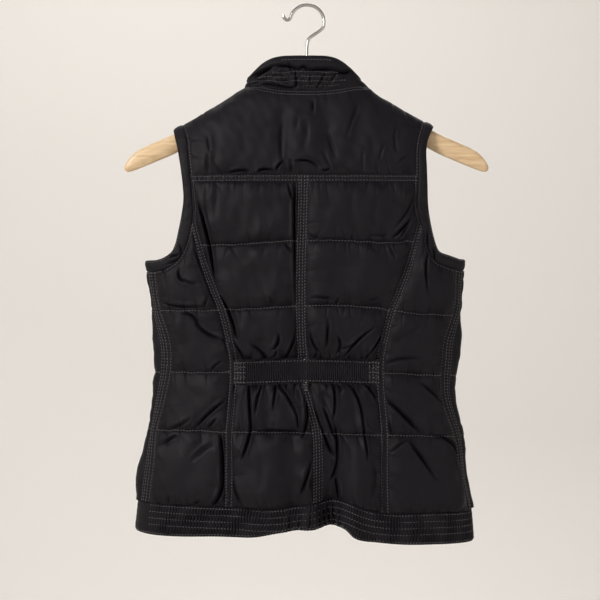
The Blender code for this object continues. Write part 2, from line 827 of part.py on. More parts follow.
# Zip: two tapes sewn inside the front edges, and the chain of teeth between them.
FRONT_SEAM_DROP = front_neck(ZIP_EDGE)
SEAM_Y = plain_point(180, FRONT_SEAM_DROP).y
RIM_Y, RIM_DROP = COLLAR[-1][3:]


def zip_y(drop):
    """Inner face of the front at the zip, on the vest and then on its collar."""
    if drop >= FRONT_SEAM_DROP:
        return plain_point(180, drop).y
    return SEAM_Y + (RIM_Y - SEAM_Y) * (FRONT_SEAM_DROP - drop) / (FRONT_SEAM_DROP - RIM_DROP)


def zip_strip(name, x_from, x_to, top, y_inside, y_outside, finish):
    """Strip that runs down the front from the collar to the hem."""
    count = round((ZIP_FOOT - FRONT_SEAM_DROP) / ZIP_STEP)
    drops = [top, (top + FRONT_SEAM_DROP) / 2, FRONT_SEAM_DROP]
    fall = (ZIP_FOOT - FRONT_SEAM_DROP) / count
    drops += [FRONT_SEAM_DROP + fall * step for step in range(1, count + 1)]
    layers = []
    for y in (y_inside, y_outside):
        layers.append([
            [Vector((middle(drop) + x, zip_y(drop) + y, -drop)) for x in (x_from, x_to)]
            for drop in drops
        ])
    return wall(name, layers[0], layers[1], finish)


zip_strip("zip_tape_left", -TAPE_OUTER, -TAPE_INNER, ZIP_TOP, TAPE_FACE - TAPE_WALL, TAPE_FACE, TAPE)
zip_strip("zip_tape_right", TAPE_INNER, TAPE_OUTER, ZIP_TOP, TAPE_FACE - TAPE_WALL, TAPE_FACE, TAPE)
zip_strip("zip_chain", -CHAIN_HALF, CHAIN_HALF, CHAIN_TOP, CHAIN_FACE - CHAIN_WALL, CHAIN_FACE, METAL)


def block(name, lows, highs, finish):
    """Box between two corners, in millimetres."""
    bm = bmesh.new()
    bmesh.ops.create_cube(bm, size=1.0)
    middle_of = [(low + high) / 2 for low, high in zip(lows, highs)]
    sizes = [high - low for low, high in zip(lows, highs)]
    bmesh.ops.scale(bm, vec=sizes, verts=bm.verts)
    bmesh.ops.translate(bm, vec=middle_of, verts=bm.verts)
    return add_object(name, bm, finish)


def join(target, tool, operation):
    """Cut or join a body with another one, which then stays only as a guide."""
    modifier = target.modifiers.new(tool.name, "BOOLEAN")
    modifier.operation = operation
    modifier.object = tool
    tool.hide_render = True
    tool.display_type = "WIRE"


# Slider: two plates round the zip, a post above the last teeth and a bridge for the tab.
slider_tilt = math.atan2(RIM_Y - SEAM_Y, FRONT_SEAM_DROP - RIM_DROP)
zip_x = middle(SLIDER_DROP)
slider_place = Matrix.Translation(Vector((zip_x, zip_y(SLIDER_DROP), -SLIDER_DROP)) * MM)
slider_place = slider_place @ Matrix.Rotation(-slider_tilt, 4, "X")
half_wide = SLIDER_WIDE / 2
half_long = SLIDER_LONG / 2
front_face = CHAIN_FACE + SEAM_GAP + 0.05
back_face = CHAIN_FACE - CHAIN_WALL - SEAM_GAP - 0.05
bridge_y = front_face + SLIDER_PLATE
bridge_half = BRIDGE_LONG / 2
overlap = 0.4

slider = block("zip_slider", (-half_wide, front_face, -half_long),
               (half_wide, bridge_y, half_long), METAL)
slider_parts = (
    ("slider_back_plate", (-half_wide, back_face - SLIDER_PLATE, -half_long),
     (half_wide, back_face, half_long)),
    ("slider_post", (-POST_WIDE / 2, back_face - overlap, POST_FOOT),
     (POST_WIDE / 2, front_face + overlap, POST_FOOT + POST_LONG)),
    ("slider_bridge_top", (-BRIDGE_WIDE / 2, bridge_y - overlap, bridge_half - BRIDGE_BAR),
     (BRIDGE_WIDE / 2, bridge_y + BRIDGE_INSIDE + overlap, bridge_half)),
    ("slider_bridge_foot", (-BRIDGE_WIDE / 2, bridge_y - overlap, -bridge_half),
     (BRIDGE_WIDE / 2, bridge_y + BRIDGE_INSIDE + overlap, -bridge_half + BRIDGE_BAR)),
    ("slider_bridge_bar", (-BRIDGE_WIDE / 2 - 0.01, bridge_y + BRIDGE_INSIDE, -bridge_half - 0.01),
     (BRIDGE_WIDE / 2 + 0.01, bridge_y + BRIDGE_INSIDE + BRIDGE_BAR, bridge_half + 0.01)),
)
slider.matrix_world = slider_place
for name, lows, highs in slider_parts:
    piece = block(name, lows, highs, METAL)
    piece.matrix_world = slider_place
    join(slider, piece, "UNION")

# Pull tab: a flat tab with a loop at its head, whose upper bar is the pin under the bridge.
pin = slider_place @ (Vector((0, bridge_y + BRIDGE_INSIDE / 2, -PIN_BELOW_MIDDLE)) * MM)
tab_hinge = bpy.data.objects.new("pull_tab_hinge", None)
tab_hinge.location = pin
bpy.context.scene.collection.objects.link(tab_hinge)
bm = bmesh.new()
bmesh.ops.create_grid(bm, x_segments=3, y_segments=3, size=0.5)
tab_x = (-TAB_HALF, -TAB_LOOP_HALF, TAB_LOOP_HALF, TAB_HALF)
tab_z = (-TAB_FOOT, -TAB_LOOP_FOOT, -TAB_THICK / 2, TAB_THICK / 2)
loop_hole = [face for face in bm.faces if face.calc_center_median().length < 0.01]
bmesh.ops.delete(bm, geom=loop_hole, context="FACES")
for vert in bm.verts:
    column = round((vert.co.x + 0.5) * 3)
    row = round((vert.co.y + 0.5) * 3)
    vert.co = (tab_x[column], -TAB_THICK / 2, tab_z[row])
made = bmesh.ops.extrude_face_region(bm, geom=bm.faces[:], use_keep_orig=True)
top_layer = [item for item in made["geom"] if isinstance(item, bmesh.types.BMVert)]
bmesh.ops.translate(bm, vec=(0, TAB_THICK, 0), verts=top_layer)
foot_corners = [
    edge for edge in bm.edges
    if all(vert.co.z < -TAB_FOOT + 0.1 and abs(vert.co.x) > TAB_HALF - 0.1 for vert in edge.verts)
]
bmesh.ops.bevel(bm, geom=foot_corners, offset=2.4, segments=3, profile=0.5, affect="EDGES")
add_object("zip_pull_tab", bm, METAL, tab_hinge)

# Wooden hanger, one long shaped bar.
rings = []
for side, rows in ((-1, HANGER[:0:-1]), (1, HANGER)):
    for out, top, height, half in rows:
        ring = [(half * y_share, height * z_share) for y_share, z_share in HANGER_SECTION]
        ring += [(-y, z) for y, z in reversed(ring)]
        rings.append([Vector((side * out, y, z - top - height)) for y, z in ring])
hanger = loft("hanger_body", rings, WOOD)
bm = bmesh.new()
bmesh.ops.create_cone(bm, segments=16, radius1=WIRE / 2 + SEAM_GAP, radius2=WIRE / 2 + SEAM_GAP,
                      depth=BORE_DEPTH * 2, cap_ends=True)
bmesh.ops.translate(bm, vec=(ARCH_X, 0, -HANGER[0][1]), verts=bm.verts)
join(hanger, add_object("hook_bore", bm, STEEL), "DIFFERENCE")

# Steel hook, screwed into the hanger's crown.
arch_drop = ARCH_RADIUS - WIRE / 2
hook_points = [(ARCH_X, HANGER[0][1] + BORE_DEPTH - SEAM_GAP)] + list(SHANK)
steps = int((ARCH_TO - ARCH_FROM) / ARCH_STEP)
for step in range(steps + 1):
    turn = math.radians(ARCH_FROM + ARCH_STEP * step)
    hook_points.append((ARCH_X + ARCH_RADIUS * math.cos(turn), arch_drop - ARCH_RADIUS * math.sin(turn)))
hook_points += TIP
path = [dense([(index, point[axis]) for index, point in enumerate(hook_points)],
              0, len(hook_points) - 1, 0.5)[1] for axis in (0, 1)]
wire = bpy.data.curves.new("hanger_hook", "CURVE")
wire.dimensions = "3D"
wire.bevel_depth = WIRE / 2 * MM
wire.bevel_resolution = 2
wire.use_fill_caps = True
spline = wire.splines.new("POLY")
spline.points.add(len(path[0]) - 1)
for point, x, drop in zip(spline.points, *path):
    point.co = (x * MM, 0, -drop * MM, 1)
wire.materials.append(STEEL)
hook = bpy.data.objects.new("hanger_hook", wire)
bpy.context.scene.collection.objects.link(hook)
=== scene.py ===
import math
from types import SimpleNamespace

import bmesh
import bpy
import numpy as np
from mathutils import Matrix, Vector


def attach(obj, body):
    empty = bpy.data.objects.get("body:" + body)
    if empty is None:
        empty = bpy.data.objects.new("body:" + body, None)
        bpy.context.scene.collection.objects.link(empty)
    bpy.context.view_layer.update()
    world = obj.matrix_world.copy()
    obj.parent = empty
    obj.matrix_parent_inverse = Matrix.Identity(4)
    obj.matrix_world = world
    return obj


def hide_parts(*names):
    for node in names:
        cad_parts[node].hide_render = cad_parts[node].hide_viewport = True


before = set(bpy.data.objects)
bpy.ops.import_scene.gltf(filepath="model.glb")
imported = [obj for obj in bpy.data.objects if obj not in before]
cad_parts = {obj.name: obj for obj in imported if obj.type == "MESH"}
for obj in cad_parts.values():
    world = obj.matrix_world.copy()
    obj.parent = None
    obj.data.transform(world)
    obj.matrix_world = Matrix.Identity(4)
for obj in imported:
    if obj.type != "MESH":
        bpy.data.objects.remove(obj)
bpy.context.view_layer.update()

# ---------------------------------------------------------------------------------------------
# Studio.  A round room with a pale floor that curves up into its wall, lit by soft lamps: a key
# on the upper left, weak ones on the right and in front, and two that wash the wall.  The camera
# stands level with the middle of the vest and looks at its back.
CAMERA_AT = (-0.0078, -1.2, -0.352)
CAMERA_HALF_VIEW = 0.36
FLOOR_Z = -1.25
ROOM_RADIUS = 3.4
ROOM_HEIGHT = 3.6
ROOM_COVE = 1.6
WORLD_COLOUR = (0.96, 0.95, 0.93)
WORLD_STRENGTH = 0.2
SENSOR_WIDTH = 36.0
PALE = (0.80, 0.775, 0.745)
# Columns: name, place, aim, size, power, colour.
LAMPS = (
    ("key", (-1.35, -1.5, 0.58), (0, 0, -0.36), 0.6, 30.5, (1.0, 0.975, 0.955)),
    ("fill", (1.6, -1.6, -0.5), (0, 0, -0.4), 1.2, 4.0, (0.95, 0.97, 1.0)),
    ("front", (0.5, 1.7, 0.8), (0, 0, -0.33), 1.2, 12.0, (1.0, 0.98, 0.96)),
    ("wall", (-0.4, 1.2, 1.6), (0.0, 3.2, -0.5), 1.6, 39.5, (1.0, 0.985, 0.965)),
    ("near wall", (0.4, -1.2, 1.6), (0.0, -3.2, -0.5), 1.6, 7.0, (1.0, 0.985, 0.965)),
)

scene = bpy.context.scene
scene.view_settings.view_transform = "Standard"
world = bpy.data.worlds.new("studio")
world.use_nodes = True
background = world.node_tree.nodes["Background"]
background.inputs["Color"].default_value = (*WORLD_COLOUR, 1)
background.inputs["Strength"].default_value = WORLD_STRENGTH
scene.world = world

camera = bpy.data.objects.new("camera", bpy.data.cameras.new("camera"))
scene.collection.objects.link(camera)
camera.location = CAMERA_AT
camera.rotation_euler = (math.radians(90), 0, 0)
camera.data.sensor_width = SENSOR_WIDTH
camera.data.lens = SENSOR_WIDTH / 2 * -CAMERA_AT[1] / CAMERA_HALF_VIEW
scene.camera = camera

for name, place, aim, size, power, colour in LAMPS:
    lamp = bpy.data.objects.new(name, bpy.data.lights.new(name, "AREA"))
    scene.collection.objects.link(lamp)
    lamp.data.size = size
    lamp.data.energy = power
    lamp.data.color = colour
    lamp.location = place
    lamp.rotation_euler = (Vector(aim) - Vector(place)).to_track_quat("-Z", "Y").to_euler()
    lamp.visible_camera = False


def plain_material(name, colour, roughness, metallic=0.0):
    """A material of one colour, with its node tree and its shader, for more to be added."""
    made = bpy.data.materials.new(name)
    made.use_nodes = True
    shader = made.node_tree.nodes["Principled BSDF"]
    shader.inputs["Base Color"].default_value = (*colour, 1)
    shader.inputs["Roughness"].default_value = roughness
    shader.inputs["Metallic"].default_value = metallic
    return made, made.node_tree, shader


bm = bmesh.new()
bmesh.ops.create_circle(bm, cap_ends=True, radius=ROOM_RADIUS, segments=96)
bmesh.ops.translate(bm, vec=(0, 0, FLOOR_Z), verts=bm.verts)
rim = list(bm.edges)
raised = bmesh.ops.extrude_edge_only(bm, edges=rim)["geom"]
raised = [item for item in raised if isinstance(item, bmesh.types.BMVert)]
bmesh.ops.translate(bm, vec=(0, 0, ROOM_HEIGHT), verts=raised)
bmesh.ops.bevel(bm, geom=rim, offset=ROOM_COVE, segments=16, profile=0.5, affect="EDGES", material=-1)
bmesh.ops.recalc_face_normals(bm, faces=bm.faces)
mesh = bpy.data.meshes.new("floor")
bm.to_mesh(mesh)
bm.free()
mesh.shade_smooth()
mesh.materials.append(plain_material("pale floor", PALE, 0.9)[0])
floor = bpy.data.objects.new("floor", mesh)
scene.collection.objects.link(floor)

# ---------------------------------------------------------------------------------------------
# Back yoke: one panel of black nylon over thin padding, from shoulder to shoulder, not quilted.
# It hangs over the hanger's arms and carries the neck seam, and is sewn to the panels below it.
#
# The vest's form, which every panel follows, in millimetres: "drop" is the distance below the
# origin, "out" the distance from the vest's middle, "angle" the place round it from the middle
# of its back, and minus is the wearer's left.
MM = 0.001
SEAM_GAP = 0.3
HALF_GAP = SEAM_GAP / 2
SIDE_SEAM_ANGLE = 0.14
SIDES = ((-1, "left"), (1, "right"))

SECTION_COLUMNS = ("drop", "left", "right", "back", "front")
SECTIONS = (
    (70, -238.6, 238, 24, 22),
    (110, -236.6, 236, 25, 23),
    (150, -231.6, 231, 27, 25),
    (206, -213.6, 213, 31, 27),
    (260, -198.6, 198, 33, 28),
    (306, -190.6, 187, 34, 28),
    (365, -181, 182, 34, 28),
    (420, -177, 177, 30, 26),
    (465, -179, 172.6, 34, 28),
    (515, -186, 183.4, 42, 33),
    (560, -196, 187.4, 47, 37),
    (592, -199, 193.5, 49, 39),
    (650, -205, 198.6, 50, 40),
)
SECTION_POWER = 2.4
# The ridge of the shoulders, in columns out and drop, and how far each place is lowered from it.
RIDGE = (
    (0, 84),
    (40, 89),
    (74, 100),
    (102, 118.5),
    (130, 136.5),
    (145, 145),
    (160, 153),
    (176, 160.5),
    (240, 190),
)
RIDGE_LEAN = ((-240, -1), (-176, -1.6), (-140, -1.8), (-115, -1.2), (-90, 0), (0, 0), (74, 0), (80, 2),
              (87, 2.4), (94, 1.4), (101, 0.3), (110, -0.2), (120, -0.9), (132, -1.8), (150, -2),
              (165, -1), (240, 0))
SHOULDER_FALL = 60.0
NECK_OUT = 73.0
BACK_NECK = ((0, 106), (25, 105), (45, 102.4), (62, 99.6), (NECK_OUT, 99.5))
FRONT_NECK = ((0, 150), (15, 149.5), (35, 142), (52, 129), (65, 113), (NECK_OUT, 99.5))
YOKE_DROP = 206.0
# The curved seams of the back, in columns drop and out.
PRINCESS = (
    (206, 149),
    (264, 133),
    (290, 126),
    (316, 118),
    (340, 108.5),
    (365, 98.5),
    (393, 91.5),
    (417, 86.5),
    (445, 85.5),
    (468, 86.96),
    (510, 89.74),
    (545, 89.26),
    (640, 90.4),
)
# Columns: edge out, edge drop, seam out, seam drop.
ARMHOLES = {
    -1: (
        (158.6, 150.26, 147.28, 144.16),
        (154.1, 166.2, 140.78, 163.2),
        (150.6, 181, 138.78, 181),
        (147.6, 199, 136.78, 199),
        (145.1, 220, 134.78, 221),
        (144.6, 236, 133.28, 240),
        (147.1, 254, 133.28, 256),
        (150.6, 271, 136.28, 273),
        (154.1, 285.89, 141.28, 289.93),
        (159.3, 295.8, 149.64, 304.28),
        (169.06, 302.3, 163.55, 314.78),
        (178, 304.8, 178, 318.28),
    ),
    1: (
        (151.2, 146.09, 140.56, 140.29),
        (143.5, 162.2, 133.3, 162.2),
        (140.59, 178, 130.67, 180),
        (141.16, 199, 130.63, 199),
        (141.76, 220, 130.2, 221),
        (142.22, 238, 129.68, 240),
        (144.06, 254, 132.05, 256),
        (147.87, 273, 136.9, 275),
        (152.22, 287.67, 141.78, 291.8),
        (156.93, 295.3, 149.25, 305.28),
        (168.38, 299.3, 163.3, 312.78),
        (181, 303.3, 181, 317.28),
    ),
}
FRONT_SCOOP = 9.0

# Large folds of the back, from upper to lower end: how far each sinks in or, below nought,
# stands out.  They move the whole wall.
# Columns: x top, drop top, x foot, drop foot, half width, depth.
FOLDS = (
    (27, 505, 29, 650, 14, 25),
    (-22, 452, -10, 650, 11, 8),
    (-68, 452, -70, 505, 8, 4),
    (-45, 452, -42, 520, 8, 4),
    (52, 452, 56, 500, 8, 4),
    (-30, 450, -62, 640, 18, -5),
    (58, 520, 62, 640, 13, -6),
    (-122, 300, -84, 408, 7, 4),
    (-140, 362, -96, 412, 10, 5),
    (-98, 470, -134, 515, 10, 5),
    (-104, 500, -136, 540, 9, 4),
    (-140, 505, -170, 535, 9, 4),
    (96, 470, 138, 512, 10, 5),
    (118, 512, 152, 560, 10, 5),
    (150, 515, 182, 560, 9, 4),
    (22, 118, 26, 196, 10, 3),
    (-28, 122, -26, 196, 10, 3),
    (62, 104, 66, 168, 11, 3),
    (-20, 340, -4, 424, 10, 5),
    (-55, 395, -50, 424, 8, 4),
    (35, 395, 30, 424, 8, 4),
)
OPEN_FOLD_FADE = 1.6
OPEN_FOLD_DROP = 600

# Creases of the back's outer face: each runs through three points.
# Columns: x, drop, x middle, drop middle, x end, drop end, half width, depth.
CREASES = (
    (-126, 240, -115, 278, -107, 328, 1.32, 8.7),
    (-102, 347, -88, 372, -82, 396, 1.32, 6.9),
    (-87, 399, -78, 411, -73, 421, 1.06, 4.4),
    (-131, 290, -119, 325, -104, 362, 0.7, 3.8),
    (-145, 367.5, -132, 371, -126.5, 382, 1.2, 4.6),
    (-128, 379.5, -114, 391.8, -97, 398.5, 1.2, 6.4),
    (-99, 397.5, -94.5, 402, -93, 410, 1.1, 4.4),
    (-106, 342, -94, 357, -89, 371, 1.06, 4),
    (-13, 214, -14, 286, -9, 387, 1.23, 8),
    (-21, 216, -19, 228, -15, 236, 0.97, 3.5),
    (-26, 284, -22, 291, -16, 298, 0.88, 2.9),
    (-32, 391, -34, 403, -40, 409, 1.41, 4),
    (-65, 402, -52, 413, -46, 423, 1.14, 4),
    (-12, 389, -18, 407, -26, 421, 1.14, 4.9),
    (-36, 409, -37, 417, -46, 421, 0.97, 3.2),
    (25, 374, 24, 393, 23, 407, 1.5, 3.2),
    (3, 389, 8, 403, 15, 413, 1.14, 3.8),
    (14, 411, 11, 416, 10, 421, 0.97, 2.9),
    (36, 393, 39, 405, 35, 415, 1.14, 3.5),
    (78, 384, 59, 399, 44, 419, 1.14, 4.3),
    (40, 409, 49, 406, 56, 403, 1.14, 2.6),
    (96, 376, 84, 399, 70, 419, 0.97, 4),
    (102, 401, 120, 391, 138, 379, 3, 1.5),
    (92, 427, 108, 421, 130, 420, 1.58, 2.9),
    (-117, 218, -115, 246, -113, 258, 3, 1.4),
    (-105, 218, -105, 236, -106, 256, 3, 1),
    (124, 232, 116, 250, 104, 266, 1.32, 2.6),
    (122, 256, 112, 268, 100, 280, 1.41, 4),
    (120, 262, 114, 271, 108, 280, 1.06, 2.9),
    (2, 275, 7, 278, 14, 280, 1.14, 2),
    (72, 278, 84, 277, 94, 278, 1.14, 1.8),
    (96, 288, 99, 296, 103, 302, 1.14, 2),
    (6, 350, 18, 349, 30, 351, 1.41, 2.6),
    (37, 349, 36, 353, 34, 357, 1.06, 2),
    (70, 352, 77, 352, 84, 350, 1.32, 1.8),
    (-43, 349, -41, 353, -39, 357, 1.14, 1.9),
    (142, 296, 138, 316, 141, 344, 1.32, 3.6),
    (-148.5, 316, -147, 326, -138, 330.5, 1.2, 4.6),
    (-140, 329.5, -134, 332.5, -127, 333, 1.1, 3.4),
    (-167, 355, -148, 359.5, -117, 360, 1.3, 3.2),
    (-114, 350, -117, 355, -119, 361, 1.14, 2.6),
    (-111, 435, -105, 428, -99, 425, 1.14, 2.9),
    (56, 220, 52, 242, 54, 262, 4.5, 0.9),
    (81, 232, 79, 250, 80, 266, 3.5, 0.9),
    (-26, 190, -33, 196, -35, 203, 0.97, 5.5),
    (-18, 188, -18, 195, -18, 202, 0.97, 5.8),
    (-14, 191, 1, 190, 14, 198, 1.14, 4.6),
    (18, 200, 23, 201, 28, 198, 1.06, 3.5),
    (-56, 204, -52, 200, -38, 201, 0.97, 4.6),
    (-91, 204, -78, 201, -67, 202, 1.14, 3.5),
    (21, 153, 28, 170, 35, 186, 3, 1.3),
    (56, 111, 58, 141, 55, 173, 4.5, 0.91),
    (76, 164, 77, 178, 74, 193, 3.6, 0.85),
    (105, 144, 107, 163, 103, 181, 4, 0.98),
    (6, 117, 7, 125, 6, 135, 1.32, 3.5),
    (-27, 120, -30, 153, -27, 178, 4, 0.98),
    (-4, 141, -2, 161, -5, 181, 3.6, 0.98),
    (-70, 134, -74, 161, -70, 185, 5, 0.72),
    (-107, 155, -105, 176, -109, 196, 4.5, 0.78),
    (-67, 446, -66, 474, -64, 502, 1.3, 6),
    (-64, 494, -67, 514, -74, 536, 1.3, 6),
    (-50, 448, -56, 464, -59, 484, 1.14, 4),
    (-35, 447, -37, 462, -39, 482, 1.14, 4),
    (-37, 446, -22, 466, -12, 486, 1.14, 5),
    (-14, 478, -11, 490, -10, 502, 1.0, 3.2),
    (-8, 443, -1.5, 462, 0.5, 484, 1.3, 6.5),
    (0.5, 478, 0, 494, -5, 512, 1.3, 6.5),
    (6, 470, 15, 496, 31, 534, 1.23, 7.2),
    (18, 458, 22, 470, 25, 484, 4.2, 2.8),
    (29, 446, 32.5, 466, 31, 490, 1.06, 5),
    (20, 478, 27, 498, 34, 514, 1.2, 5),
    (32, 498, 35, 516, 34, 536, 1.3, 6.4),
    (36, 530, 33, 548, 28, 562, 1.2, 4.5),
    (20, 509, 23, 519, 28, 529, 1.14, 3.8),
    (33, 557, 35, 570, 37, 586, 1.14, 5.3),
    (46, 446, 60, 470, 65, 500, 1.14, 4.8),
    (65, 494, 67, 512, 70, 536, 1.0, 4),
    (64, 446, 73, 456, 82, 470, 1.14, 4.4),
    (40, 460, 39, 455, 39, 450, 1.06, 3.2),
    (92, 467, 112, 488, 133, 508, 1.4, 6.2),
    (94, 491, 96, 500, 99, 510, 1.14, 2.9),
    (133, 450, 146, 461, 158, 475, 1.14, 3.5),
    (118, 515, 132, 536, 149, 560, 1.41, 4.4),
    (96, 529, 107, 521, 118, 514, 1.32, 2.6),
    (149, 512, 173, 529, 187, 584, 1.41, 6.6),
    (-93, 469, -109, 482, -131, 504, 1.14, 4.9),
    (-104, 491, -110, 497, -115, 503, 1.14, 3.5),
    (-135, 492, -146, 499, -158, 504, 1.32, 2.9),
    (-164, 523, -158, 516, -150, 512, 1.32, 3.5),
    (-109, 518, -120, 527, -131, 538, 1.5, 2.9),
    (-100, 508, -97, 532, -96.5, 562, 1.35, 8),
    (-96.5, 550, -98, 573, -110, 591, 1.35, 7.4),
    (-120, 582, -126, 586, -131, 590, 1.14, 2.6),
    (-158, 579, -159, 585, -160, 591, 1.14, 2.4),
    (6, 538, -1, 560, -8, 579, 1.58, 4.9),
    (-57, 506, -32, 504, -8, 507, 1.32, 2.6),
    (-52, 531, -51, 555, -55, 574, 5, 1.2),
    (-27, 528, -26, 549, -30, 567, 5.5, 1.2),
    (49, 514, 51, 540, 47, 570, 4.5, 1.3),
    (76, 536, 80, 556, 76, 582, 3, 2),
    (-147, 450, -135, 459, -127, 470, 4.5, 1),
    (-87, 549, -82, 572, -73, 587, 1.41, 2.9),
    (-28, 143, -30, 165, -29, 189, 1.5, 2.4),
    (-11, 138, -12, 146, -13, 154, 1.4, 1.4),
    (0, 140, -1, 156, -3, 172, 1.4, 1.7),
    (24, 154, 28, 168, 33, 184, 1.5, 2.1),
    (60, 125, 53, 142, 47, 161, 1.6, 1.8),
    (104, 152, 103, 165, 105, 178, 1.5, 1.6),
    (119, 184, 113, 187, 107, 193, 1.3, 1.5),
    (-116, 160, -114, 170, -113, 177, 1.4, 1.3),
    (-115, 182, -116, 192, -115, 203, 1.5, 1.8),
    (20, 178, 23, 188, 28, 196, 1.4, 1.7),
    (66, 180, 65, 190, 66, 201, 1.3, 1.3),
    (90, 172, 87, 180, 85, 188, 1.3, 1.3),
)


def smoothed(rows, at):
    """Values, at every place in at, of a smooth curve through (key, value) rows."""
    keys = np.array([row[0] for row in rows], float)
    values = np.array([row[1] for row in rows], float)
    slopes = np.gradient(values, keys)
    held = np.clip(at, keys[0], keys[-1])
    index = np.clip(np.searchsorted(keys, held) - 1, 0, len(keys) - 2)
    span = keys[index + 1] - keys[index]
    share = (held - keys[index]) / span
    heights = values[index] * (1 + 2 * share) * (1 - share) ** 2
    heights += span * slopes[index] * share * (1 - share) ** 2
    heights += values[index + 1] * share ** 2 * (3 - 2 * share)
    heights += span * slopes[index + 1] * share ** 2 * (share - 1)
    return heights


def curve(rows, start, stop):
    """A function that reads (key, value) rows as a smooth curve, for one number or an array."""
    at = np.arange(start, stop + 1, 1.0)
    heights = smoothed(rows, at)
    return lambda key: np.interp(key, at, heights)


def column_curve(table, columns, name, start, stop, key=0):
    """The same for one named column of a table."""
    column = columns.index(name)
    return curve([(row[key], row[column]) for row in table], start, stop)


FIRST_DROP = 60
LAST_DROP = 660
reach_left, reach_right, depth_back, depth_front = (
    column_curve(SECTIONS, SECTION_COLUMNS, name, FIRST_DROP, LAST_DROP) for name in SECTION_COLUMNS[1:])
ridge_base = curve(RIDGE, 0, 240)
ridge_lean = curve(RIDGE_LEAN, -240, 240)
princess_out = curve(PRINCESS, 190, 650)
back_neck = curve(BACK_NECK, 0, 80)
front_neck = curve(FRONT_NECK, 0, 80)


def ridge_drop(x):
    return ridge_base(np.abs(x)) + ridge_lean(x)


def middle(drop):
    return (reach_left(drop) + reach_right(drop)) / 2


def half_width(drop):
    return (reach_right(drop) - reach_left(drop)) / 2


def angle_at(x, drop, face):
    """Place round the vest of a point seen at x."""
    out = (x - middle(drop)) / half_width(drop)
    turn = np.degrees(np.arcsin(np.minimum(np.abs(out), 1.0) ** (SECTION_POWER / 2)))
    turn = 180 - turn if face == "front" else turn
    return np.copysign(turn, out)


def x_at(angle, drop):
    out = np.abs(np.sin(np.radians(angle))) ** (2 / SECTION_POWER)
    return middle(drop) + np.copysign(half_width(drop) * out, angle)


def plain_form(angle, drop):
    """Inner face of the vest with no folds in it."""
    x = x_at(angle, drop)
    facing = np.cos(np.radians(angle))
    fall = np.clip((drop - ridge_drop(x)) / SHOULDER_FALL, 0.0, 1.0)
    depth = np.abs(facing) ** (2 / SECTION_POWER) * np.sqrt(1 - (1 - fall) ** 2)
    y = np.where(facing > 0, -depth_back(drop) * depth, depth_front(drop) * depth)
    return np.stack([x, y, -drop + 0 * x], axis=-1)


def outward(angle, drop):
    across = plain_form(angle + 0.5, drop) - plain_form(angle - 0.5, drop)
    down = plain_form(angle, drop + 0.5) - plain_form(angle, drop - 0.5)
    facing = -np.cross(across, down)
    return facing / np.linalg.norm(facing, axis=-1, keepdims=True)


def fold_depth(x, drop):
    total = np.zeros(np.shape(x))
    for x_top, drop_top, x_foot, drop_foot, half, depth in FOLDS:
        run_x = x_foot - x_top
        run_drop = drop_foot - drop_top
        length = math.hypot(run_x, run_drop)
        along = ((x - x_top) * run_x + (drop - drop_top) * run_drop) / length ** 2
        across = ((x - x_top) * run_drop - (drop - drop_top) * run_x) / length
        if drop_foot > OPEN_FOLD_DROP:
            fade = np.clip(along * OPEN_FOLD_FADE, 0, 1)
        else:
            fade = np.sin(np.pi * np.clip(along, 0, 1))
        total += depth * np.where((along > 0) & (along < 1), fade, 0) * np.exp(-(across / half) ** 2)
    return total


def inner_form(angle, drop):
    """Inner face of the vest, with the folds of its back."""
    points = plain_form(angle, drop)
    facing = np.cos(np.radians(angle))
    points[..., 1] += np.where(facing > 0, fold_depth(points[..., 0], drop) * np.minimum(1, facing * 2), 0)
    return points


def ripple(x, z, wave, seed, count=7):
    """Soft uneven waves about one wavelength long, between about -1 and 1."""
    draw = np.random.default_rng(seed)
    total = np.zeros(np.broadcast(x, z).shape)
    for _ in range(count):
        turn = draw.uniform(0, math.pi)
        length = wave * draw.uniform(0.65, 1.6)
        phase = draw.uniform(0, 2 * math.pi)
        total += np.sin((x * math.cos(turn) + z * math.sin(turn)) * 2 * math.pi / length + phase)
    return total / math.sqrt(count) / 1.4


# A crease's cleft, the swells on both sides of it in shares of its half width, and how it fades
# at its ends.  Only narrow creases have painted shade inside, all the way from DARK_DEPTH on.
CREASE_STEPS = 8
CREASE_REACH = 5
CREASE_LIP = 0.26
LIP_AT = 2.6
LIP_HALF = 1.5
CREASE_FADE = 0.55
CREASE_CORE = 0.75
SOFT_CREASE = 2.0
DARK_DEPTH = 4.0
# The hidden front has every second crease that lies far enough out.
FRONT_CREASE_OUT = 30
FRONT_CREASE_DROP = 6
FRONT_CREASE_SHARE = 0.7


def front_creases():
    """Creases of the front: like those of the back, but turned round, lower and shallower."""
    return [(-x1, d1 + FRONT_CREASE_DROP, -x2, d2 + FRONT_CREASE_DROP, -x3, d3 + FRONT_CREASE_DROP,
             half, depth * FRONT_CREASE_SHARE)
            for x1, d1, x2, d2, x3, d3, half, depth in CREASES[::2]
            if max(abs(x1), abs(x3)) >= FRONT_CREASE_OUT]


